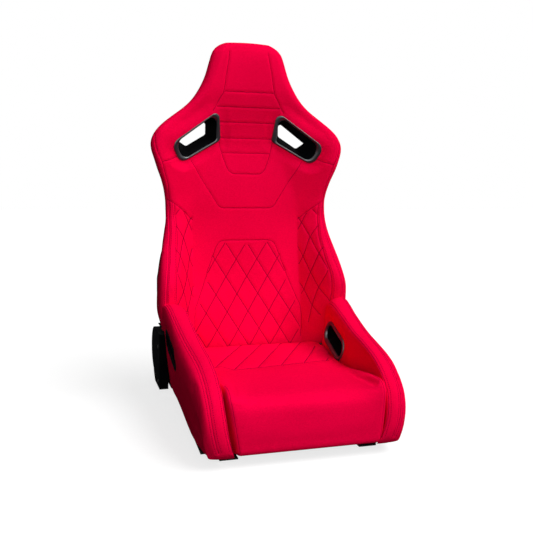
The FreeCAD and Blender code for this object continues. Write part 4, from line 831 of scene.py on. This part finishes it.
def back_cover():
    """The red cover of the whole backrest, puffed between its seams, with an opening each side."""
    p = coarse_back
    pins = line_distance(p, back_seams + back_quilt) < PIN_REACH
    pins |= (opening_distance(p) < RING_PIN) | (p[..., 1] > REAR - 4)
    pins[:HELD_ROWS] = True
    pins[-HELD_ROWS:] = True
    p = sewn("back", p, pins, PUFF, (back_seams, BACK_SEAM), (back_quilt, BACK_QUILT))
    inside = opening_distance(p, COVER_HEM)
    inside[p[..., 1] > REAR] = FAR
    corner = p[..., 2] < CORNER_HIGH + CORNER_RISE * (p[..., 1] - CORNER_AT)
    corner &= np.abs(p[..., 0]) > CORNER_HALF
    obj = grid_object("back_cover", p, [RED, BLACK_CLOTH], cell(inside) > 0,
                      (cell(corner.astype(float)) > 0.5).astype(int))
    return soft_cover(obj, "backrest", "lumbar_foam", "shoulder_foam", "head_foam",
                      "back_bolster_left", "back_bolster_right")


def rear_panel():
    """The black cloth over the shell's back."""
    z = np.arange(CLOTH_LOW, CLOTH_HIGH, 4.0)
    w = table(WIDTH, np.maximum(z, WIDTH[0][0])) - CLOTH_INSET
    w = np.where(z < CLOTH_FOOT_TOP, np.minimum(w, CLOTH_FOOT), w)
    x = w[:, None] * np.linspace(-1, 1, CLOTH_COLUMNS)[None]
    ends = np.minimum(z - CLOTH_LOW, CLOTH_HIGH - 1 - z)
    edge = np.minimum(w[:, None] - np.abs(x), ends[:, None])
    y = SHELL_REAR - CLOTH_DEEP + CLOTH_DEEP * smoothstep(0, CLOTH_ROUND, edge)
    p = np.stack([x, y, np.repeat(z[:, None], CLOTH_COLUMNS, 1)], -1)
    if grid_normals(p)[len(z) // 2, CLOTH_COLUMNS // 2, 1] < 0:
        p = p[:, ::-1]
    obj = grid_object("rear_panel", p, [BLACK_CLOTH], cell(opening_distance(p, CLOTH_HEM)) > 0)
    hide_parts("back_shell")
    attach(obj, "backrest")


# Cushion

CUSHION_HALF = 186.5
# outline from the side, (y, z), from the rear of the underside round over the top
CUSHION = [(150, 42), (150, 66), (218, 66), (222, 100), (222, 133), (216, 144), (199, 149.5),
           (100, 151), (0, 152), (-100, 151), (-180, 150.5), (-232, 150), (-262, 148), (-277, 144),
           (-287, 135), (-291, 120), (-291, 84), (-289, 36), (-285, 29), (-276, 27), (-246, 27),
           (-240, 42)]
CUSHION_EDGE = 10.0
# the side seams' distance from the edge, measured in a row of the top
SIDE_SEAM, TOP_ROW = 7, 60
# where the rear edge begins, and the depth and lowest height of the side seams down the front
REAR_EDGE, SEAM_FRONT, SEAM_LOW = 214, -225, 36
CUSHION_SEAM, CUSHION_CHANNEL = (0.9, 2.4, 1.6), (1.6, 2.8, 1.5)
# how far each side is drawn in at the foot of the front
NARROW_LEFT, NARROW_RIGHT = 7, 24
# height and fade of that, and the depths between which it sets in
NARROW_HIGH, NARROW_FADE, NARROW_DEPTHS = 155, 125, (-225, -285)
# where the rise of the sides stands, how wide it is and the heights where it sets in
RISE_HALF, RISE_WIDE, RISE_HEIGHTS = 188, 34, (60, 146)
# rise of its sides above the middle, by depth
EDGE_RISE = [(-300, 20), (-261, 26), (-206, 20), (-126, 7), (-60, -3), (0, -6), (60, -4),
             (110, 8), (150, 8), (190, 2), (240, 0)]


def cushion_grid():
    """The seat cushion's cover, rows round its side outline, columns across."""
    outline = along(CUSHION + CUSHION[:1], 5.0)[:-1]
    for _ in range(2):
        outline = outline * 0.5 + (np.roll(outline, 1, 0) + np.roll(outline, -1, 0)) * 0.25
    t = np.roll(outline, -1, 0) - np.roll(outline, 1, 0)
    t /= np.linalg.norm(t, axis=1, keepdims=True)
    inward = np.stack([t[:, 1], -t[:, 0]], 1)
    if ((outline.mean(0) - outline) * inward).sum() < 0:
        inward = -inward
    turn = np.linspace(math.pi / 2, 0, 7)
    x = CUSHION_HALF - CUSHION_EDGE * (1 - np.sin(turn))
    inset = CUSHION_EDGE * (1 - np.cos(turn))
    flat = np.linspace(CUSHION_HALF - CUSHION_EDGE, 0, 36)[1:]
    x = np.concatenate([x, flat])
    inset = np.concatenate([inset, np.zeros(len(flat))])
    x = np.concatenate([x, -x[-2::-1]])
    inset = np.concatenate([inset, inset[-2::-1]])
    yz = outline[:, None] + inward[:, None] * inset[None, :, None]
    across = np.broadcast_to(x[None], yz.shape[:2])
    p = np.stack([across, yz[..., 0], yz[..., 1]], -1)
    raised = table(EDGE_RISE, p[..., 1]) * smoothstep(*RISE_HEIGHTS, p[..., 2])
    p[..., 2] += raised * np.exp(-((np.abs(p[..., 0]) - RISE_HALF) / RISE_WIDE) ** 2)
    most = np.where(p[..., 0] > 0, NARROW_LEFT, NARROW_RIGHT)
    narrow = below(p[..., 2], most, NARROW_HIGH, NARROW_FADE)
    narrow = narrow * smoothstep(*NARROW_DEPTHS, p[..., 1])
    p[..., 0] *= 1 - narrow / CUSHION_HALF
    return outward(np.concatenate([p, p[:1]]))


coarse_cushion = cushion_grid()
cushion_top = Surface(coarse_cushion)

# the insert's cross seam and slanting channels, (x, y)
CROSS_SEAM = [(-158, -2), (-135, -9), (-112, -44), (12, -29), (153, -9)]
CHANNEL_STEP, CHANNEL_START, CHANNEL_SLANT = 59.5, -99.0, 0.57
# the depth where they are counted, their ends, the insert's half width and the fewest points
CHANNEL_AT, CHANNEL_ENDS, INSERT_HALF, CHANNEL_FEWEST = -20, (215.0, -40.0), 165, 9


def on_cushion(points):
    """A line drawn on the cushion's top, given as (x, y) points."""
    return cushion_top.seen([(x, y, 150) for x, y in along(points, 3.0)], (0, 0, -1))


def channel(k):
    """A slanting channel of the insert, cut at the cross seam."""
    y = np.array(CHANNEL_ENDS)
    x = CHANNEL_START + CHANNEL_STEP * k + CHANNEL_SLANT * (y - CHANNEL_AT)
    line = along(np.stack([x, y], 1), 3.0)
    seam = np.array(CROSS_SEAM)
    low = np.interp(line[:, 0], seam[:, 0], seam[:, 1])
    return line[(np.abs(line[:, 0]) < INSERT_HALF) & (line[:, 1] > low)]


def cushion_sides():
    """The seam down each side of the cushion's top and front."""
    lines = []
    edge = np.argmin(np.abs(np.abs(coarse_cushion[TOP_ROW, :, 0]) - (CUSHION_HALF - SIDE_SEAM)))
    for column in (edge, coarse_cushion.shape[1] - 1 - edge):
        line = coarse_cushion[:, column]
        lines.append(line[(line[:, 2] > SEAM_LOW) & (line[:, 1] < SEAM_FRONT)])
    return lines


cushion_seams = [on_cushion(CROSS_SEAM)] + cushion_sides()
cushion_channels = [on_cushion(line) for line in map(channel, range(-1, 5))
                    if len(line) >= CHANNEL_FEWEST]


def cushion_cover():
    """The seat cushion's red cover, with a cross seam and slanting channels."""
    p = coarse_cushion
    pins = line_distance(p, cushion_seams + cushion_channels) < PIN_REACH
    pins |= (p[..., 2] < LOW_PIN) | (np.abs(p[..., 0]) > CUSHION_HALF - 3)
    pins |= p[..., 1] > REAR_EDGE
    p = sewn("cushion", p, pins, CUSHION_PUFF, (cushion_seams, CUSHION_SEAM),
             (cushion_channels, CUSHION_CHANNEL))
    obj = grid_object("cushion_cover", p, [RED])
    changed(obj, close_ends)
    return soft_cover(obj, "seat_base", "cushion_foam")


# Thigh bolsters

# top (y, z); foot (y, z); inner seam (x, drop); outer seam (x, drop); widest x; foot x; inner x
THIGH = [
    (148, 294, 138, 58, 204, 22, 257, 9, 264, 240, 190.8),
    (133, 293, 128, 55, 203, 17, 255, 7, 263, 240, 190.8),
    (104, 286, 100, 52, 202, 10, 252, 6, 261, 240, 190.8),
    (60, 270, 58, 50, 201, 5, 248, 5, 259, 239, 190.8),
    (0, 251, 0, 44, 199, 3, 243, 5, 258, 238, 190.8),
    (-48, 238, -48, 36, 197, 3, 239, 5, 258, 237, 190.8),
    (-100, 228, -100, 28, 196, 3, 235, 5, 257, 236, 190.8),
    (-148, 219, -148, 23, 194, 3, 231, 6, 255, 235, 190.8),
    (-190, 208, -188, 23, 193, 4, 228, 6, 252, 234, 190.8),
    (-220, 196, -215, 23, 192, 5, 227, 7, 248, 232, 190.6),
    (-240, 185, -231, 22, 192, 6, 226, 7, 246, 230, 190.2),
    (-258, 172, -243, 22, 191, 7, 226, 7, 244, 228, 189.6),
    (-273, 158, -252, 21, 191, 8, 225, 7, 242, 225, 188.6),
    (-284, 140, -259, 21, 190, 9, 224, 7, 240, 222, 187),
    (-292, 119, -265, 21, 188, 9, 222, 6, 237, 218, 185),
    (-296, 96, -269, 22, 185, 8, 219, 5, 232, 213, 181),
    (-297, 74, -273, 22, 180, 7, 215, 4, 226, 208, 176),
    (-295, 52, -276, 23, 175, 5, 209, 3, 219, 203, 172),
    (-290, 36, -277, 24, 171, 3, 203, 2, 211, 199, 169),
    (-282, 27, -277, 24, 169, 1, 199, 1, 205, 197, 168),
]
THIGH_COUNTS = [24, 18, 4, 4, 4, 4, 7, 16, 16, 3, 4, 5, 3]
INNER_SEAM = sum(THIGH_COUNTS[:2])
OUTER_SEAM = sum(THIGH_COUNTS[:4])
THIGH_SEAM, THIGH_STITCH = (1.7, 2.6, 1.6), (0.7, 2.0, 1.6)
CUSHION_TOP = 146
REAR_ROWS, FRONT_ROWS = 10, 2


def thigh_row(top, foot, inner, outer, widest, foot_x, inner_x):
    """One closed section, from the inner foot up over the crest and down the outer side."""
    tall = math.hypot(top[0] - foot[0], top[1] - foot[1])
    grow = min(1, tall / 60)

    def up(drop):
        return max(0.0, 1 - drop / max(tall, 1))

    level = (CUSHION_TOP - foot[1]) / max(top[1] - foot[1], 1)
    level = max(0.02, min(level, up(inner[1] + 18), 0.92))
    middle = (inner[0] + outer[0]) / 2 + 1
    control = [(inner_x, 0.0), (inner_x, level), (inner[0], up(inner[1])),
               (middle, up(inner[1] * 0.22 + outer[1] * 0.2)), (outer[0], up(outer[1])),
               (outer[0] + (widest - outer[0]) * 0.66, up(13 * grow)),
               (widest - 1, up(27 * grow)), (widest, up(56 * grow)),
               ((widest + foot_x) / 2 + 2, 0.45), (foot_x + 2, 8 / max(tall, 8.1)),
               (foot_x - 5, 0.0), (foot_x - 20, 0.0), (inner_x + 9, 0.0)]
    control = np.array(control)
    loop = [a + (b - a) * t for a, b, n in zip(control, np.roll(control, -1, 0), THIGH_COUNTS)
            for t in np.arange(n) / n]
    loop = np.array(loop)
    yz = np.array(foot) + (np.array(top) - np.array(foot)) * loop[:, 1:2]
    return np.column_stack([loop[:, 0], yz])


def thigh_grid():
    """The left thigh bolster's cover, rows from the rear end over the crest and down the front."""
    s = np.array(THIGH, float)
    run = np.concatenate([[0], np.cumsum(np.hypot(np.diff(s[:, 0]), np.diff(s[:, 1])))])
    at = np.linspace(0, run[-1], int(run[-1] / 4.5))
    v = table(np.column_stack([run, s]), at)
    p = np.array([thigh_row(*values) for values in zip(
        zip(v[0], v[1]), zip(v[2], v[3]), zip(v[4], v[5]), zip(v[6], v[7]), v[8], v[9], v[10])])
    for _ in range(3):
        p = p * 0.5 + (np.roll(p, 1, 1) + np.roll(p, -1, 1)) * 0.25
    for _ in range(3):
        p[1:-1] = p[1:-1] * 0.5 + (p[:-2] + p[2:]) * 0.25
    return p


def thigh_ends(p):
    """The rounded rear end and the closed front foot."""
    end = p[0]
    centre = end.mean(0)
    rear = []
    for a in np.linspace(0, math.pi / 2, 7)[1:]:
        q = centre + (end - centre) * (1 - 0.1 * (1 - math.cos(a)))
        q[:, 1] = end[:, 1] + 9 * math.sin(a)
        rear.append(q)
    for t in (0.85, 0.6, 0.3, 0.02):
        q = centre + (rear[5] - centre) * t
        q[:, 1] = rear[5][:, 1] + 1.5 * (1 - t)
        rear.append(q)
    last = p[-1]
    front = [last.mean(0) + (last - last.mean(0)) * t for t in (0.5, 0.02)]
    return np.concatenate([np.array(rear)[::-1], p, np.array(front)])


# lap belt opening as the solids have it: centre (y, z), half size, tilt, width of the ring and
# the share of the half height that rounds the ends
BELT_CENTRE = (70.0, 182.0)
BELT_HALF = (75.0, 30.5)
BELT_TILT = math.radians(16)
BELT_RING = 15.0
BELT_ROUND = 0.95
# planes of the rings: place, slant and the height where the slant is counted
BELT_INNER, BELT_OUTER = (190.4, 0.198, 144), (258, 0.087, 241.5)
# the cover is drawn to those planes between these distances from the slot, above a height
BELT_BLEND, BELT_BED, BELT_LOW = (-4, 26), 0.4, 100
# how far from the middle the bolster's inner side reaches and the outer side begins
INNER_SIDE, OUTER_SIDE = 222, 240
# how far the cover reaches into the slot
BELT_HEM = -4


def belt_outline(grow=0.0):
    """The slot's outline, (y, z)."""
    long = np.array([math.cos(BELT_TILT), math.sin(BELT_TILT)])
    tall = np.array([-long[1], long[0]])
    half_long, half_tall = BELT_HALF[0] + grow, BELT_HALF[1] + grow
    corners = [np.array(BELT_CENTRE) + long * half_long * a + tall * half_tall * b
               for a, b in ((-1, -1), (1, -1), (1, 1), (-1, 1))]
    return rounded(corners, [half_tall * BELT_ROUND] * 4, 10)


def belt_inner(z):
    """Place of the inner ring's plane by height."""
    place, slant, height = BELT_INNER
    return place + slant * np.maximum(z - height, 0)


def belt_outer(z):
    """Place of the outer ring's plane by height."""
    place, slant, height = BELT_OUTER
    return place + slant * (z - height)


def belt_dip(p):
    """Draws the bolster's sides to the planes of the belt rings, round the opening."""
    p = p.copy()
    pull = 1 - smoothstep(*BELT_BLEND, outline_distance(p[..., 1], p[..., 2], belt_outline()))
    inner = (p[..., 0] < INNER_SIDE) & (p[..., 2] > BELT_LOW)
    p[..., 0] += pull * inner * (belt_inner(p[..., 2]) + BELT_BED - p[..., 0])
    outer = (p[..., 0] > OUTER_SIDE) & (p[..., 2] > BELT_LOW)
    p[..., 0] += pull * outer * (belt_outer(p[..., 2]) - BELT_BED - p[..., 0])
    return p


coarse_thigh = belt_dip(thigh_ends(thigh_grid()))


# the last rows of the front, left free of seams, and the columns searched for a gap
CREST_REST, CREST_SPAN = 5, 12


def along_crest(column, gap=0.0):
    """A line along the bolster at a gap outside one of its columns, or inside if negative."""
    rows = coarse_thigh[REAR_ROWS + 1:-FRONT_ROWS - CREST_REST]
    if gap == 0:
        return rows[:, column]
    out = []
    for row in rows:
        path = (row[column:column + CREST_SPAN] if gap > 0
                else row[column - CREST_SPAN + 1:column + 1][::-1])
        s = lengths(path)
        out.append([np.interp(abs(gap), s, path[:, k]) for k in range(3)])
    return np.array(out)


thigh_seams = [along_crest(INNER_SEAM), along_crest(OUTER_SEAM)]
thigh_stitches = [along_crest(INNER_SEAM, 6.5), along_crest(OUTER_SEAM, 6),
                  along_crest(OUTER_SEAM, -6)]


def thigh_cover(name, side):
    """The red cover of one thigh bolster, with the belt slot through it."""
    p = outward(np.concatenate([coarse_thigh, coarse_thigh[:, :1]], 1))
    belt = outline_distance(p[..., 1], p[..., 2], belt_outline())
    pins = line_distance(p, thigh_seams) < PIN_REACH
    pins |= (belt < BELT_PIN) | (p[..., 2] < LOW_PIN)
    pins[:REAR_ROWS] = True
    pins[-FRONT_ROWS - 2:] = True
    p = sewn("thigh_" + name, p, pins, PUFF, (thigh_seams, THIGH_SEAM),
             (thigh_stitches, THIGH_STITCH))
    belt = outline_distance(p[..., 1], p[..., 2], belt_outline(BELT_HEM))
    if side < 0:
        p = p[:, ::-1] * np.array([-1, 1, 1])
        belt = belt[:, ::-1]
    obj = grid_object("thigh_cover_" + name, p, [RED], cell(belt) > 0)
    return soft_cover(obj, "seat_base", "thigh_bolster_" + name)


# Threads

# spacing of points along a seam's thread and a stitched one; share of the radius above the cover
SEAM_STEP, STITCH_STEP = 2.5, 1.0
SEAM_PROUD, STITCH_PROUD = 0.2, 0.4


def thread(name, surface, lines, radius, body, look, stitch=None):
    """Threads laid on a cover; stitch gives the length of a stitch and of the gap after it."""
    parts = []
    for line in lines:
        if stitch is None:
            p = surface.lift(along(line, SEAM_STEP), radius * SEAM_PROUD)
            parts.append(tube(p, radius))
            continue
        p = surface.lift(along(line, STITCH_STEP), radius * STITCH_PROUD)
        long, gap = stitch
        for i in range(0, len(p) - long, long + gap):
            thick = np.array([0.5] + [1.0] * (long - 1) + [0.5]) * radius
            parts.append(tube(p[i:i + long + 1], thick, 5))
    obj = joined(name, parts, [look])
    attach(obj, body)


# Moulded rings

# a ring's section: distance outside the opening's outline and height above its plane
RING_SECTION = [(0.5, -3.0), (0.6, 0.2), (0.1, 1.8), (-1.2, 2.9), (-3.2, 3.4), (-5.4, 3.3),
                (-7.4, 2.5), (-9.0, 1.0), (-10.0, -1.5), (-10.4, -4.0)]
# where the tunnels begin, inside the rings, and how deep
HARNESS_MOUTH, HARNESS_SUNK, BELT_MOUTH, BELT_SUNK = -10, 1.5, -9.8, 1
# the outer belt ring: how much wider its inner part is and how much flatter it is
OUTER_WIDER, OUTER_FLATTER = 1.5, 0.3


def collar(name, rows, side, body, look, *replaced):
    """A closed band of outline rows as a moulded piece."""
    p = np.array(rows)
    p = np.concatenate([p, p[:, :1]], 1)
    if side < 0:
        p = p * np.array([-1, 1, 1])
    obj = grid_object(name, finer(p, 3, 0), [look])
    changed(obj, turn_outward)
    if replaced:
        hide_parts(*replaced)
    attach(obj, body)


def harness_row(q, depth):
    return np.column_stack([q[:, 0], np.broadcast_to(depth, len(q)), q[:, 1]])


def harness_ring(name, side):
    """The ring and tunnel of a shoulder harness opening."""
    rows = [harness_row(q, ring_plane(*q.T) - out)
            for q, out in [(harness_outline(grow), out) for grow, out in RING_SECTION]]
    collar("harness_ring_" + name, rows, side, "backrest", GLOSS, "harness_bezel_" + name)
    front = harness_outline(HARNESS_MOUTH)
    rear = rounded(WINDOW, WINDOW_RADII)
    start = ring_plane(*front.T) + HARNESS_SUNK
    rows = [harness_row(front + (rear - front) * t, start + (SHELL_REAR - 4 - start) * t)
            for t in (0.0, 0.25, 0.5, 0.75, 1.0)]
    rows += [harness_row(rear, SHELL_REAR - 2), harness_row(front, SHELL_REAR - 1)]
    collar("harness_tunnel_" + name, rows, side, "backrest", MATT)


def belt_ring_inner(name, side):
    """The ring and tunnel of a lap belt opening, seen from the seat."""
    rows = []
    for grow, out in RING_SECTION:
        q = belt_outline(grow)
        rows.append(np.column_stack([belt_inner(q[:, 1]) - out, q]))
    collar("belt_ring_inner_" + name, rows, side, "seat_base", GLOSS, "belt_bezel_inner_" + name)
    front, rear = belt_outline(BELT_MOUTH), belt_outline(-BELT_RING - 0.6)
    start = belt_inner(front[:, 1]) + BELT_SUNK
    rows = []
    for t in (0.0, 0.2, 0.5, 1.0):
        q = front + (rear - front) * min(1, t * 2)
        rows.append(np.column_stack([start + (belt_outer(q[:, 1]) - 2 - start) * t, q]))
    collar("belt_tunnel_" + name, rows, side, "seat_base", MATT)


def belt_ring_outer(name, side):
    """The flat ring of a lap belt opening, on the bolster's outer side."""
    rows = []
    for grow, out in RING_SECTION:
        q = belt_outline(grow * OUTER_WIDER if grow < 0 else grow)
        rows.append(np.column_stack([belt_outer(q[:, 1]) + out * OUTER_FLATTER, q]))
    collar("belt_ring_outer_" + name, rows, side, "seat_base", MATT, "belt_bezel_outer_" + name)


# Everything together

SLOT_LOOK = {"black_cover": MATT, "black_gloss": GLOSS, "frame_black": PAINT,
             "bright_steel": STEEL, "bush_metal": BRASS, "red_fabric": RED}
MOULDED = ("harness", "recliner_cover", "recline_knob", "knob_cap")
EDGE_BROKEN, EDGE_STEPS, EDGE_ANGLE = 1.5, 3, 40


def carried_over():
    """Materials of the solids that stay, with their sharp moulded edges broken."""
    for part in frame["record"]["subparts"]:
        obj = nodes[part["node"]]
        look = SLOT_LOOK[part["material_slot"]]
        if part["node"].startswith("cover_screws"):
            look = PAINT
        if not obj.material_slots:
            obj.data.materials.append(look)
        for item in obj.material_slots:
            item.material = look
        if part["node"].startswith(MOULDED):
            merge = obj.modifiers.new("weld", "WELD")
            merge.merge_threshold = WELD * MM
            bevel = obj.modifiers.new("bevel", "BEVEL")
            bevel.width = EDGE_BROKEN * MM
            bevel.segments = EDGE_STEPS
            bevel.limit_method = "ANGLE"
            bevel.angle_limit = math.radians(EDGE_ANGLE)


# radii of the threads
BACK_THREAD, QUILT_THREAD = 0.45, 0.6
CUSHION_THREAD, CHANNEL_THREAD, THIGH_THREAD = 0.4, 0.55, 0.5
# millimetres of thread and of gap
STITCHES = (3, 2)

back = Surface(back_cover())
rear_panel()
thread("back_seams", back, back_seams, BACK_THREAD, "backrest", SEAM)
thread("back_quilting", back, back_quilt, QUILT_THREAD, "backrest", QUILT)
thread("back_stitches", back, back_stitches, BACK_THREAD, "backrest", STITCH, STITCHES)
cushion = Surface(cushion_cover())
thread("cushion_seams", cushion, cushion_seams, CUSHION_THREAD, "seat_base", SEAM)
thread("cushion_channels", cushion, cushion_channels, CHANNEL_THREAD, "seat_base", QUILT)
for name, side in (("left", 1), ("right", -1)):
    bolster = Surface(thigh_cover(name, side))
    flip = np.array([side, 1, 1])
    thread("thigh_seams_" + name, bolster, [line * flip for line in thigh_seams],
           THIGH_THREAD, "seat_base", SEAM)
    thread("thigh_stitches_" + name, bolster, [line * flip for line in thigh_stitches],
           THIGH_THREAD, "seat_base", STITCH, STITCHES)
    harness_ring(name, side)
    belt_ring_inner(name, side)
    belt_ring_outer(name, side)
carried_over()


# Stage and light

FLOOR_PALE, FLOOR_DULL, FLOOR_GLOW = 0.35, 0.05, 0.76
FLOOR_REACH, FLOOR_DROP = 9000, 0.5
WORLD_LIGHT = 0.04
# a lamp's direction from the seat, strength and spread in degrees
KEY = ((0.46, -0.34, 0.82), 2.7, 40)
FILL = ((0.02, -0.94, 0.34), 1.7, 70)


def floor():
    """A pale floor: plain to the camera, grey to the light that it throws back."""
    m, shader = material("floor")
    out = m.node_tree.nodes["Material Output"]
    m.node_tree.nodes.remove(shader)
    pale, dull = node(m, "BsdfDiffuse"), node(m, "BsdfDiffuse")
    glow, both, mix = node(m, "Emission"), node(m, "AddShader"), node(m, "MixShader")
    path = node(m, "LightPath")
    pale.inputs[0].default_value = (FLOOR_PALE, FLOOR_PALE, FLOOR_PALE, 1)
    dull.inputs[0].default_value = (FLOOR_DULL, FLOOR_DULL, FLOOR_DULL, 1)
    glow.inputs[1].default_value = FLOOR_GLOW
    link(m, (pale.outputs[0], both.inputs[0]), (glow.outputs[0], both.inputs[1]),
         (path.outputs["Is Camera Ray"], mix.inputs[0]), (dull.outputs[0], mix.inputs[1]),
         (both.outputs[0], mix.inputs[2]), (mix.outputs[0], out.inputs[0]))
    corners = [(a * FLOOR_REACH, b * FLOOR_REACH, -FLOOR_DROP)
               for a, b in ((-1, -1), (1, -1), (1, 1), (-1, 1))]
    obj = new_mesh("floor", corners, [(0, 1, 2, 3)], [m])


def world():
    """A dim even light, white to the camera and in reflections."""
    w = bpy.data.worlds.new("world")
    scene.world = w
    w.use_nodes = True
    w.node_tree.nodes.clear()
    out = node(w, "OutputWorld")
    dim, white = node(w, "Background"), node(w, "Background")
    for item, level in ((dim, WORLD_LIGHT), (white, 1.0)):
        item.inputs[0].default_value = (1, 1, 1, 1)
        item.inputs[1].default_value = level
    path = node(w, "LightPath")
    rays = path.outputs["Is Camera Ray"]
    for kind in ("Is Glossy Ray", "Is Transmission Ray"):
        add = node(w, "Math")
        add.operation = "ADD"
        add.use_clamp = True
        link(w, (rays, add.inputs[0]), (path.outputs[kind], add.inputs[1]))
        rays = add.outputs[0]
    mix = node(w, "MixShader")
    link(w, (rays, mix.inputs[0]), (dim.outputs[0], mix.inputs[1]),
         (white.outputs[0], mix.inputs[2]), (mix.outputs[0], out.inputs[0]))


def sun(name, towards, strength, spread):
    """A broad lamp far off, in the direction given from the seat."""
    data = bpy.data.lights.new(name, "SUN")
    data.energy = strength
    data.angle = math.radians(spread)
    obj = bpy.data.objects.new(name, data)
    scene.collection.objects.link(obj)
    obj.rotation_euler = Vector(towards).to_track_quat("Z", "Y").to_euler()


floor()
world()
sun("key", *KEY)
sun("fill", *FILL)
scene.view_settings.view_transform = "Standard"
